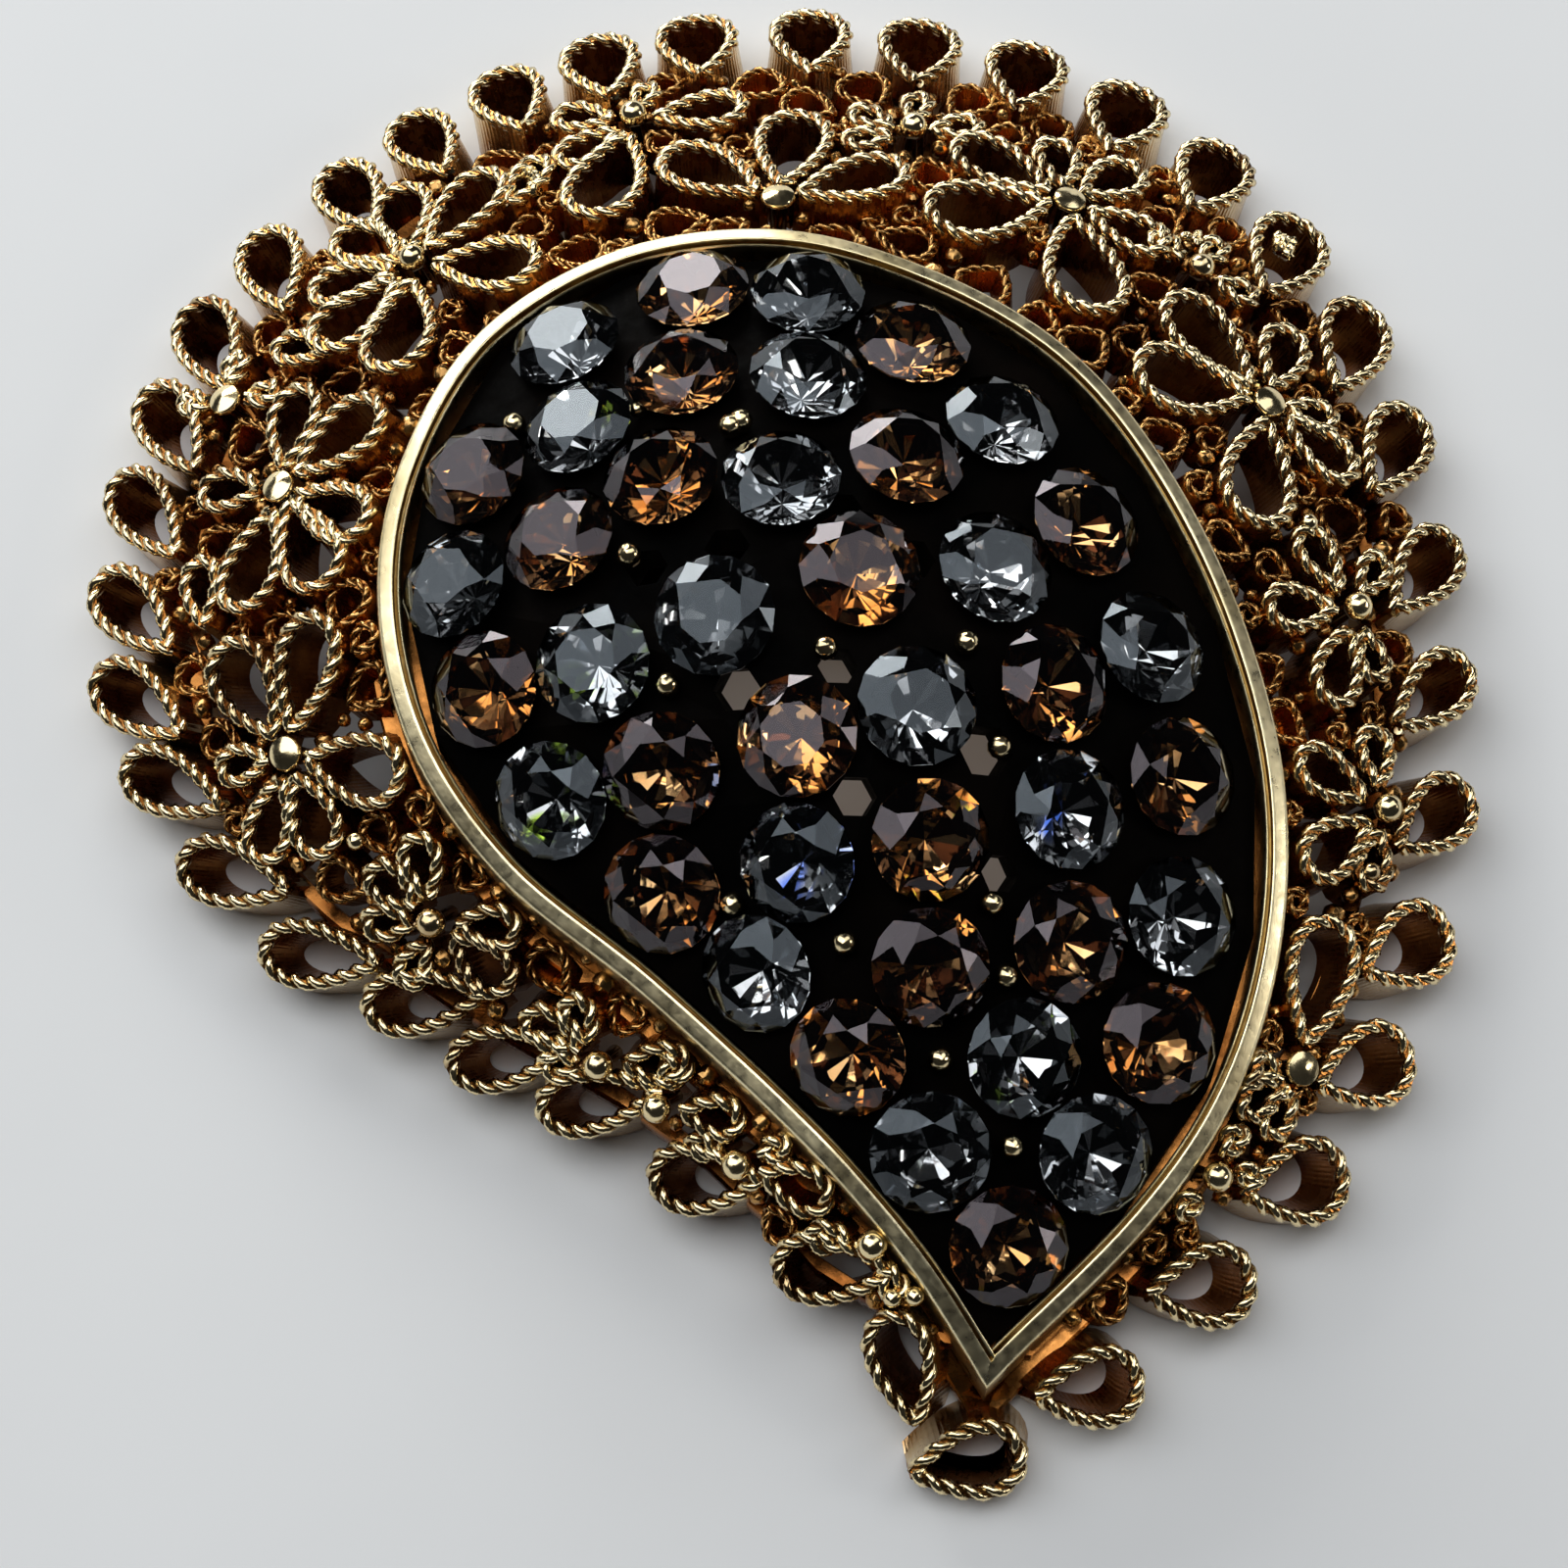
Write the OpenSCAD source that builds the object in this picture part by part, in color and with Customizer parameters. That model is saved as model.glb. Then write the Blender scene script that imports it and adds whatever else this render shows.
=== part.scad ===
// Pear-shaped filigree brooch with a domed field of cut stones, in millimetres.
// It lies on its back on the plane z = 0: +Z is its face, -Y the tip of the pear.
// Everything that shows follows one domed surface: low at the rim, high in the middle.

/* [Dome] */
// Height of the domed surface at the rim
rim_z = 1.8; // [1.7:0.1:2.1]
// Rise of the domed surface from the rim to its middle
dome_rise = 9.6; // [8.6:0.2:10.2]
// Radius of the rounded top of the dome, as a share of the whole
top_round = 0.3; // [0.25:0.05:0.4]

/* [Filigree] */
// Length of a loop of the rim
loop_len = 4.3; // [3.9:0.1:4.6]
// Width of a loop of the rim
loop_w = 2.6; // [2.4:0.05:2.9]
// Depth of the strip that loops and petals are bent from
strip_h = 2.0; // [1.6:0.1:2.2]
// Thickness of the strip with the wire on its edge
strip_t = 0.52; // [0.45:0.01:0.6]
// Diameter of the balls and discs in the middle of the rosettes
boss_d = 1.1; // [0.9:0.1:1.3]

/* [Cup] */
// Width of the polished band round the stones
band_w = 0.82; // [0.7:0.02:0.95]
// How far the band stands above the domed surface
band_up = 0.5; // [0.3:0.1:0.7]
// How far the stone plate's face lies below the domed surface
plate_drop = 0.5; // [0.4:0.1:0.6]
// Thickness of the stone plate
plate_t = 1.4; // [1.3:0.1:1.5]

/* [Stones] */
// Diameter of a stone at its girdle
stone_d = 3.7; // [3.4:0.1:3.7]
// Height of a stone above its girdle
crown_h = 0.75; // [0.6:0.05:0.9]
// Depth of a stone below its girdle
pavilion_h = 1.45; // [1.2:0.05:1.5]

/* [Pin] */
// Diameter of the pin's stem
stem_d = 0.95; // [0.8:0.05:1.1]
// Width of the pin's bar
bar_w = 3.0; // [2.6:0.1:3.4]

/* [Hidden] */
clearance = 0.1;
kinds = ["smoke", "topaz"];
// Middle of the whole brooch's plan, from the middle of the dome
plan_middle = [-0.13, 0.365];

// Radius of the rim from the middle of the dome, by polar angle: [angle, radius]
rim_radius = [
  [0, 24.2], [20, 25.2], [40, 26.9], [60, 27.8], [80, 27.8], [100, 27.7], [120, 27.2],
  [140, 26.5], [160, 25.2], [180, 24.0], [200, 21.1], [220, 18.3], [240, 17.3], [250, 17.7],
  [260, 18.8], [270, 21.2], [281, 27.2], [290, 26.8], [300, 25.9], [320, 25.0], [340, 24.1],
  [360, 24.2]
];

// Outer edge of the band, clockwise from the tip: [x, y]
band_stations = [
  [6.4, -23.7], [3.8, -20.0], [0.1, -15.9], [-4.5, -11.6], [-9.2, -7.8], [-12.2, -3.5],
  [-13.4, 1.6], [-12.8, 6.6], [-10.3, 11.5], [-5.6, 14.6], [0.0, 15.2], [5.2, 13.4],
  [9.6, 10.5], [12.7, 6.5], [15.1, 1.4], [16.4, -4.0], [16.2, -9.4], [14.6, -14.4],
  [11.6, -18.7], [6.4, -23.7]
];
station_steps = 3;

// Runs of loops along the rim: [first polar angle, last polar angle, loops]
rim_runs = [
  [296, 340, 5], [352, 386, 4], [396, 448, 7], [457, 481, 4], [488, 520, 5], [529, 546, 3],
  [556, 601, 5], [615, 629, 2]
];

// How the loops change along the rim, by polar angle:
// [angle, lean from straight outward, tip's share of the rim's radius, length in loop_len,
// width in loop_w, the strip's share of the way from straight out to a level side]
rim_turns = [
  [296, 74, 0.99, 0.97, 1.06, 0], [307, 63, 0.985, 1, 1.12, 0],
  [329, 54, 0.985, 1.03, 1.12, 0], [341, 52, 0.985, 1.05, 1.12, 0],
  [352, 50, 0.975, 1.05, 1.06, 0], [363, 42, 0.97, 1.15, 1.04, 0],
  [386, 36, 0.97, 1.18, 1.1, 0], [396, 34, 0.975, 1.2, 1.12, 0],
  [404, 20, 0.98, 1.2, 1.18, 0], [414, 11, 0.995, 1.12, 1.2, 0],
  [430, 8, 1.005, 1.08, 1.2, 0], [440, 6, 1, 1.05, 1.2, 0],
  [455, 0, 1, 1, 1.2, 0], [484, -2, 1, 1.12, 1.1, 0],
  [489, -12, 0.998, 1.18, 1.05, 0], [497, -28, 0.995, 1.22, 1.02, 0],
  [504, -30, 1.005, 1.28, 1.04, 0], [512, -32, 1, 1.28, 1.02, 0],
  [528, -36, 0.99, 1.25, 1, 0], [537, -36, 0.985, 1.22, 0.98, 0],
  [547, -34, 0.98, 1.18, 0.95, 0.1], [567, -38, 0.98, 1.18, 0.92, 0.4],
  [578, -37, 0.965, 1.18, 0.9, 0.4], [589, -44, 0.965, 1.15, 0.9, 0.4],
  [601, -56, 0.965, 1.18, 0.92, 0.4], [615, -81, 0.955, 1.08, 0.95, 0.4],
  [630, -95, 0.95, 1.07, 0.95, 0.3]
];
lean_by_angle = [for (t = rim_turns) [t[0], t[1]]];
reach_by_angle = [for (t = rim_turns) [t[0], t[2]]];
length_by_angle = [for (t = rim_turns) [t[0], t[3]]];
width_by_angle = [for (t = rim_turns) [t[0], t[4]]];
level_by_angle = [for (t = rim_turns) [t[0], t[5]]];

// Loops that close the tip: [x and y of the round end, heading, length, width]
tip_loops = [[3.2, -21.4, 106, 4.4, 2.5], [7.5, -25.6, 10, 4.3, 2.7]];

// Rosettes on the slope: [x, y, boss, [heading and reach of each petal]]
rosettes = [
  [-0.2, 17.2, "disc", [[22, 5], [81, 5.2], [146, 5]]],
  [10.1, 17.9, "disc", [[-88, 5.8], [-29, 4], [38, 3.9], [92, 3.5], [145, 4.8], [196, 5.6]]],
  [16.8, 10, "disc", [[-104, 5.4], [-37, 4.1], [-3, 2.9], [67, 3.9], [132, 5.2], [176, 5.3]]],
  [-17.3, 6.7, "disc", [[-105, 4.8], [-61, 4.9], [-30, 4.4], [35, 4.7], [85, 4.2], [170, 3.5]]],
  [-16.6, -3, "disc", [[-113, 3.9], [-72, 3.9], [-19, 4.7], [70, 4.9], [119, 4.8], [182, 2.9]]],
  [-13, 15.5, "ball", [[-91, 5.2], [-134, 4.8], [-171, 4.1], [146, 4.2], [108, 4.5], [60, 5], [-11, 5]]],
  [-5.4, 21.7, "ball", [[-139, 3.5], [-102, 5.6], [8, 4.2], [79, 2.3], [168, 3.2]]],
  [19.4, 2.5, "ball", [[-171, 3.7], [-108, 4], [-69, 2.8], [58, 2.8], [126, 3.4]]],
  [20.1, -4.5, "ball", [[-141, 4.1], [-102, 3], [98, 3], [158, 3.8]]],
  [16.9, -13.4, "disc", [[-175, 2.6], [-142, 2.8], [-114, 2.7], [81, 5.2]]],
  [13.9, -17, "ball", [[-128, 1.9], [7, 1.8], [63, 2]]],
  [-11.5, -8.8, "ball", [[-127, 2.7], [-48, 3.5], [-12, 3.1], [93, 3.1], [135, 3], [175, 2.7]]],
  [-6, -13.4, "ball", [[-7, 3.2], [107, 2.6], [142, 3.2], [176, 2.3]]],
  [-4.1, -14.8, "ball", [[-17, 3], [62, 1.9]]],
  [-1.5, -16.7, "ball", [[-29, 3.4], [12, 2], [151, 2.1]]],
  [2.8, -19.4, "ball", [[-75, 2.1], [170, 2.4]]],
  [4.6, 20.9, "ball", [[-164, 2.7], [15, 2.8], [80, 2.5], [151, 2.6]]],
  [-19.6, 10.8, "disc", [[0, 2.3], [85, 2.2], [170, 2.2]]],
  [14.6, 15.3, "ball", [[-20, 2.5], [55, 2.3], [130, 2.4]]]
];

// Petals between the rosettes: [x and y of the root, heading, length]
lone_petals = [[-19.7, 1.5, 98, 3.2], [-15.3, 12, 163, 3.2], [-10, 17.4, 62, 3.2]];

// Stones, ring by ring and clockwise from the top, first colour in kinds: [x, y]
outer_ring = [
  [0.8, 12.3], [4.3, 10.2], [7.2, 7.2], [9.9, 3.7], [12.0, -0.4], [12.9, -4.6], [12.8, -9.1],
  [12.0, -13.1], [9.9, -16.6], [7.1, -19.5], [4.6, -16.8], [2.0, -14.0], [-0.9, -11.3],
  [-3.9, -8.7], [-7.5, -5.7], [-9.7, -2.1], [-10.8, 1.6], [-10.3, 5.6], [-7.4, 10.6],
  [-3.1, 12.6]
];
middle_ring = [
  [-3.4, 8.8], [0.8, 8.5], [4.0, 5.3], [6.8, 1.5], [8.7, -2.2], [9.1, -6.2], [9.1, -10.3],
  [7.6, -13.9], [4.6, -11.4], [0.4, -8.3], [-3.9, -5.2], [-6.1, -1.8], [-7.3, 2.6], [-6.8, 6.9]
];
inner_ring = [
  [-4.0, 4.5], [-0.1, 4.2], [2.4, 0.9], [4.2, -3.5], [4.6, -7.6], [0.4, -4.6], [-2.2, -0.7]
];
inner_kinds = [1, 0, 1, 0, 1, 1, 0];

// Each stone: [x, y, index in kinds]
stones = concat(
  [for (i = [0:len(outer_ring) - 1]) [outer_ring[i][0], outer_ring[i][1], i % 2]],
  [for (i = [0:len(middle_ring) - 1]) [middle_ring[i][0], middle_ring[i][1], (i + 1) % 2]],
  [for (i = [0:len(inner_ring) - 1]) [inner_ring[i][0], inner_ring[i][1], inner_kinds[i]]]
);

// Gaps pierced through the plate where stones leave room: [x, y, diameter]
plate_gaps = [
  [-1.9, 2.0, 1.5], [-4.6, 1.5, 1.4], [4.3, 1.7, 1.5], [2.3, -6.4, 1.4], [6.6, -4.6, 1.8],
  [-1.6, -3.0, 1.5], [1.8, -2.2, 1.3], [7.0, -8.4, 1.3], [2.0, 3.5, 1.2]
];

// Step at which the dome's slope is measured
slope_step = 0.6;

// The filigree's finer sizes; full_width is the width of the plain drop curve
full_width = 0.77;
rim_facets = 9;
petal_facets = 7;
small_facets = 5;
small_petal = 3;
petal_aspect = 0.55;
boss_facets = 8;
boss_gap = 0.25;
root_share = 2.2;
rim_extra = 0.5;
plan_share = 0.88;

// The rib on the back, and the tie from the top rosette to the cup's ledge
rib_share = 0.84;
rib_w = 0.6;
rib_h = 0.9;
rib_drop = 1.6;
rib_facets = 30;
tie_drop = 1.3;
tie_facets = 6;
tied_rosette = [-0.2, 17.2];
tied_ledge = [-0.1, 14.8];

// The ledge under the cup
plate_bottom = plate_drop + plate_t;
ledge_drop = plate_bottom + clearance;
ledge_h = 0.65;
ledge_in = 1.25;
ledge_out = 0.6;
room_gap = 0.15;
room_turn = 0.15;
half_space = 40;

// The cup: the band's bevel, and the rings of points that the plate is built from
bevel = 0.12;
plate_middle = [3, -4];
plate_rings = [0.34, 0.68, 1];
plate_stride = 3;

// Seats of the stones, and the stones' cut
seat_facets = 6;
seat_top_d = 3.3;
seat_over = 0.3;
seat_under = 0.25;
stone_facets = 8;
table_share = 0.56;
stone_turn = 40;

// The pin's finer sizes: x runs along the bar
bar_y = 4;
bar_ends = [-13.6, 14.2];
bar_top = 3.95;
bar_t = 0.8;
stem_z = 2.1;
stem_over = 1.6;
point_l = 2;
hinge_x = 11;
catch_x = -11;
catch_l = 1.8;
catch_wall = 0.45;
leg_l = 1.6;
round_facets = 32;

gold = [0.72, 0.53, 0.24];
pale_gold = [0.72, 0.66, 0.48];
black_plate = [0.08, 0.07, 0.07];
smoke = [0.28, 0.30, 0.33];
topaz = [0.45, 0.25, 0.12];

function two_digits(i) = str(i < 10 ? "0" : "", i);
function stone_name(i) = str("stone_", kinds[stones[i][2]], "_", two_digits(i + 1));

// The domed surface

function full_turn(a) = a < 0 ? a + 360 : a >= 360 ? a - 360 : a;
function rim_raw(a) = lookup(full_turn(a), rim_radius);
function rim_at(a) = (rim_raw(a - 8) + 2 * rim_raw(a) + rim_raw(a + 8)) / 4;
function on_rim(a, share) = share * rim_at(full_turn(a)) * [cos(a), sin(a)];

function dome_z(p) =
  let(share = norm(p) / rim_at(full_turn(atan2(p[1], p[0]))))
  let(fall = sqrt(top_round ^ 2 + share ^ 2) - top_round)
  let(whole = sqrt(top_round ^ 2 + 1) - top_round)
  rim_z + dome_rise * (1 - fall / whole);

function slope_x(p) =
  (dome_z(p + [slope_step, 0]) - dome_z(p - [slope_step, 0])) / (2 * slope_step);
function slope_y(p) =
  (dome_z(p + [0, slope_step]) - dome_z(p - [0, slope_step])) / (2 * slope_step);
function unit(v) = v / norm(v);
function dome_normal(p) = unit([-slope_x(p), -slope_y(p), 1]);
function along_dome(p, heading) =
  let(dir = [cos(heading), sin(heading)])
  unit([dir[0], dir[1], dir[0] * slope_x(p) + dir[1] * slope_y(p)]);

// Stands its children on the dome at p, their X axis towards heading and Z straight out.
// level turns the Z axis alone, as a share of the way to where it has a level side
module on_dome(p, heading = 0, level = 0) {
  out = dome_normal(p);
  ahead = along_dome(p, heading);
  side = cross(out, ahead);
  upright = unit(cross(ahead, [-sin(heading), cos(heading), 0]));
  rise = unit((1 - level) * out + level * upright);
  multmatrix([
    [ahead[0], side[0], rise[0], p[0]],
    [ahead[1], side[1], rise[1], p[1]],
    [ahead[2], side[2], rise[2], dome_z(p)],
    [0, 0, 0, 1]
  ]) children();
}

// The band's outline

function between(a, b, c, d, t) =
  0.5 * (2 * b + (c - a) * t + (2 * a - 5 * b + 4 * c - d) * t ^ 2
    + (3 * b - a - 3 * c + d) * t ^ 3);
function station(i) =
  let(last = len(band_stations) - 1)
  i < 0 ? 2 * band_stations[0] - band_stations[1]
  : i > last ? 2 * band_stations[last] - band_stations[last - 1]
  : band_stations[i];
band_edge = [
  for (i = [0:len(band_stations) - 2], k = [0:station_steps - 1])
    between(station(i - 1), station(i), station(i + 1), station(i + 2), k / station_steps)
];
band_count = len(band_edge);

// Unit normal of the edge that follows point i, pointing into the pear
function edge_inward(i) =
  let(step = unit(band_edge[(i + 1) % band_count] - band_edge[i % band_count]))
  [step[1], -step[0]];
// Point i moved into the pear by d, with a mitre at the tip
function inset(i, d) =
  let(a = edge_inward(i + band_count - 1), b = edge_inward(i))
  band_edge[i] + d * (a + b) / (1 + a * b);

// Closed sweep through rings of points that all have the same length
module closed_sweep(rings) {
  count = len(rings);
  size = len(rings[0]);
  faces = [
    for (i = [0:count - 1], k = [0:size - 1])
      let(a = i * size, b = (i + 1) % count * size, n = (k + 1) % size)
      [a + n, b + n, b + k, a + k]
  ];
  polyhedron([for (ring = rings) each ring], faces);
}

// Sweep along the band's outline: each profile point is [distance into the pear, height]
module band_sweep(profile) {
  closed_sweep([
    for (i = [0:band_count - 1])
      [for (q = profile) let(p = inset(i, q[0])) [p[0], p[1], dome_z(band_edge[i]) + q[1]]]
  ]);
}

// The filigree

function teardrop(from, to, width, facets) = [
  for (k = [0:facets - 1])
    let(a = 360 * k / facets)
    [(from + to) / 2 - (to - from) / 2 * cos(a), width / 2 / full_width * sin(a) * sin(a / 2)]
];

// Plan of a petal: a strip bent to a drop, with its point at the start
module petal(from, to, width, facets) {
  difference() {
    polygon(teardrop(from, to, width, facets));
    polygon(teardrop(from + root_share * strip_t, to - strip_t, width - 2 * strip_t, facets));
  }
}

// Stands a plan on edge, its upper edge at z = 0
module strip(depth) {
  translate([0, 0, -depth]) linear_extrude(depth) children();
}

// A loop of the rim whose round end reaches the given place
module rim_loop(tip, heading, length, width, level = 0) {
  middle = tip - plan_share * length / 2 * [cos(heading), sin(heading)];
  on_dome(middle, heading, level)
    strip(strip_h + rim_extra)
      petal(-length / 2, length / 2, width, rim_facets);
}

module rim_loops() {
  for (run = rim_runs, k = [0:run[2] - 1]) {
    a = run[0] + (run[1] - run[0]) * k / (run[2] - 1);
    tip = lookup(a, reach_by_angle) * rim_raw(a - 360) * [cos(a), sin(a)];
    size = [loop_len * lookup(a, length_by_angle), loop_w * lookup(a, width_by_angle)];
    level = lookup(a, level_by_angle);
    rim_loop(tip, a + lookup(a, lean_by_angle), size[0], size[1], level);
  }
  for (t = tip_loops)
    rim_loop([t[0], t[1]], t[2], t[3], t[4]);
}

function facets_of(reach) = reach < small_petal ? small_facets : petal_facets;

// A ball on the rosette's middle
module ball() {
  hull() {
    sphere(d = boss_d, $fn = boss_facets);
    translate([0, 0, -boss_d / 2]) cylinder(d = boss_d / 2, h = boss_d / 2, $fn = boss_facets);
  }
}

module rosette(boss, petals) {
  strip(strip_h) {
    for (p = petals)
      rotate(p[0]) petal(boss_gap, p[1], petal_aspect * p[1], facets_of(p[1]));
    circle(d = boss_d, $fn = boss_facets);
  }
  if (boss == "ball") ball();
}

module rosette_tier() {
  for (r = rosettes)
    on_dome([r[0], r[1]]) rosette(r[2], r[3]);
  for (p = lone_petals)
    on_dome([p[0], p[1]], p[2])
      strip(strip_h)
        petal(0, p[3], petal_aspect * p[3], facets_of(p[3]));
}

// The rib that runs round the back, under the petals
module mid_ring() {
  closed_sweep([
    for (i = [0:rib_facets - 1])
      let(a = 360 * i / rib_facets, top = dome_z(on_rim(a, rib_share)) - rib_drop)
      [
        for (q = [[1, 0], [-1, 0], [-1, -1], [1, -1]])
          let(p = on_rim(a, rib_share) + q[0] * rib_w / 2 * [cos(a), sin(a)])
          [p[0], p[1], top + q[1] * rib_h]
      ]
  ]);
}

// A bar that ties a rosette's middle to the ledge
module tie(from, to) {
  hull() {
    translate([from[0], from[1], dome_z(from) - tie_drop - rib_h])
      cylinder(d = rib_w, h = rib_h, $fn = tie_facets);
    translate([to[0], to[1], dome_z(to) - ledge_drop - rib_h])
      cylinder(d = rib_w, h = ledge_h, $fn = tie_facets);
  }
}

// The ledge that carries the band and the plate's edge
module ledge() {
  foot = -ledge_drop - ledge_h;
  band_sweep([
    [ledge_in, -ledge_drop], [-ledge_out, -ledge_drop], [-ledge_out, foot], [ledge_in, foot]
  ]);
}

// The room that the band takes, with a small gap round it. It is turned a little, so that
// its corners don't fall on those of the ledge
module band_room() {
  rotate(room_turn)
    linear_extrude(rim_z + dome_rise + strip_h)
      polygon([for (i = [0:band_count - 1]) inset(i, -room_gap)]);
}

// Brings the middle of the plan to the origin
module centred() {
  translate([-plan_middle[0], -plan_middle[1], 0]) children();
}

// All that is above the plane that the brooch lies on
module above_floor() {
  translate([-half_space, -half_space, 0]) cube(2 * half_space);
}

module filigree_frame() {
  color(gold) {
    difference() {
      intersection() {
        above_floor();
        union() {
          rim_loops();
          rosette_tier();
          mid_ring();
        }
      }
      band_room();
    }
    tie(tied_rosette, tied_ledge);
    ledge();
  }
}

// The cup: a polished band and a pierced, domed plate

module bezel_band() {
  color(pale_gold)
    band_sweep([
      [0, -plate_bottom], [band_w, -plate_bottom], [band_w, band_up - bevel],
      [band_w - bevel, band_up], [bevel, band_up - bevel / 2], [0, band_up - 3 * bevel]
    ]);
}

plate_count = band_count / plate_stride;
function plate_point(i, share, depth) =
  let(p = plate_middle + share * (inset(i * plate_stride, band_w + clearance) - plate_middle))
  [p[0], p[1], dome_z(p) - depth];
// Points of one face of the plate, ring by ring, with its middle last
function plate_face(depth) = concat(
  [for (s = plate_rings, i = [0:plate_count - 1]) plate_point(i, s, depth)],
  [[plate_middle[0], plate_middle[1], dome_z(plate_middle) - depth]]
);

module plate_shell() {
  face_size = plate_count * len(plate_rings) + 1;
  outer = plate_count * (len(plate_rings) - 1);
  function next(i) = (i + 1) % plate_count;
  skin = concat(
    [for (r = [0:len(plate_rings) - 2], i = [0:plate_count - 1])
      let(a = r * plate_count, b = (r + 1) * plate_count)
      [a + i, b + i, b + next(i), a + next(i)]],
    [for (i = [0:plate_count - 1]) [face_size - 1, i, next(i)]]
  );
  function turned(face) = [for (k = [len(face) - 1:-1:0]) face[k] + face_size];
  wall = [
    for (i = [0:plate_count - 1])
      [outer + next(i), outer + i, outer + i + face_size, outer + next(i) + face_size]
  ];
  polyhedron(
    concat(plate_face(plate_drop), plate_face(plate_bottom)),
    concat(skin, [for (f = skin) turned(f)], wall)
  );
}

// A pointed seat for one stone's pavilion
module seat() {
  rise = pavilion_h + seat_under - plate_drop + seat_over;
  translate([0, 0, -pavilion_h - seat_under])
    cylinder(d1 = 0, d2 = seat_top_d + seat_over, h = rise, $fn = seat_facets);
}

module stone_plate() {
  color(black_plate)
    difference() {
      plate_shell();
      for (s = stones)
        on_dome([s[0], s[1]]) seat();
      for (g = plate_gaps)
        on_dome([g[0], g[1]])
          translate([0, 0, -2 * plate_bottom])
            cylinder(d = g[2], h = 3 * plate_bottom, $fn = seat_facets);
    }
}

// The stones

function stone_ring(r, z, turn) = [
  for (k = [0:stone_facets - 1])
    let(a = 360 * (k + turn) / stone_facets)
    [r * cos(a), r * sin(a), z]
];

// A cut stone: a flat table, a crown of sixteen facets and a pavilion of eight
module cut_stone() {
  n = stone_facets;
  function next(k) = (k + 1) % n;
  polyhedron(
    concat(
      stone_ring(table_share * stone_d / 2, crown_h, 0.5),
      stone_ring(stone_d / 2, 0, 0),
      [[0, 0, -pavilion_h]]
    ),
    concat(
      [[for (k = [n - 1:-1:0]) k]],
      [for (k = [0:n - 1]) [k, n + next(k), n + k]],
      [for (k = [0:n - 1]) [k, next(k), n + next(k)]],
      [for (k = [0:n - 1]) [n + k, n + next(k), 2 * n]]
    )
  );
}

module stone(i) {
  color(stones[i][2] == 0 ? smoke : topaz)
    on_dome([stones[i][0], stones[i][1]], stone_turn * i)
      cut_stone();
}

// The pin: bar, hinge, stem and catch in one piece

module bar() {
  translate([0, bar_y, bar_top - bar_t])
    linear_extrude(bar_t) {
      for (x = [bar_ends[0] + bar_w / 2, bar_ends[1] - bar_w / 2])
        translate([x, 0]) circle(d = bar_w, $fn = round_facets);
      translate([bar_ends[0] + bar_w / 2, -bar_w / 2])
        square([bar_ends[1] - bar_ends[0] - bar_w, bar_w]);
    }
}

// A leg from the bar down to the height of the stem
module leg(x, length) {
  translate([x - length / 2, bar_y - bar_w / 2 + catch_wall, stem_z])
    cube([length, bar_w - 2 * catch_wall, bar_top - bar_t / 2 - stem_z]);
}

module hinge() {
  leg(hinge_x, leg_l);
  translate([hinge_x, bar_y - bar_w / 2 + catch_wall, stem_z])
    rotate([-90, 0, 0])
      cylinder(d = 2 * stem_d, h = bar_w - 2 * catch_wall, $fn = round_facets);
}

module stem() {
  translate([catch_x - stem_over, bar_y, stem_z])
    rotate([0, 90, 0])
      cylinder(d = stem_d, h = hinge_x - catch_x + stem_over, $fn = round_facets);
  translate([catch_x - stem_over - point_l, bar_y, stem_z])
    rotate([0, 90, 0])
      cylinder(d1 = stem_d / 4, d2 = stem_d, h = point_l, $fn = round_facets);
}

// The catch: a tube along the stem, open on one side
module catch() {
  difference() {
    union() {
      leg(catch_x, catch_l);
      translate([catch_x - catch_l / 2, bar_y, stem_z])
        rotate([0, 90, 0])
          cylinder(d = stem_d + 4 * catch_wall, h = catch_l, $fn = round_facets);
    }
    translate([catch_x - catch_l, bar_y, stem_z])
      rotate([0, 90, 0])
        cylinder(d = stem_d + 2 * catch_wall, h = 2 * catch_l, $fn = round_facets);
    translate([catch_x - catch_l, bar_y - bar_w, stem_z - stem_d])
      cube([2 * catch_l, bar_w, stem_d]);
  }
  translate([catch_x - catch_l / 2, bar_y - stem_d / 4, stem_z])
    cube([catch_l, stem_d / 2, stem_d + catch_wall]);
}

module pin_clasp() {
  color(pale_gold) {
    bar();
    hinge();
    stem();
    catch();
  }
}

centred() filigree_frame();
centred() bezel_band();
centred() stone_plate();
centred() pin_clasp();
for (i = [0:len(stones) - 1])
  centred() stone(i);
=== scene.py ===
"""Looks of the pear-shaped filigree brooch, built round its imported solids.

Lengths are in millimetres and in the frame of the dome's middle until a mesh is made,
which moves them to the frame of the part and to metres.
"""

import math

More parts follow.
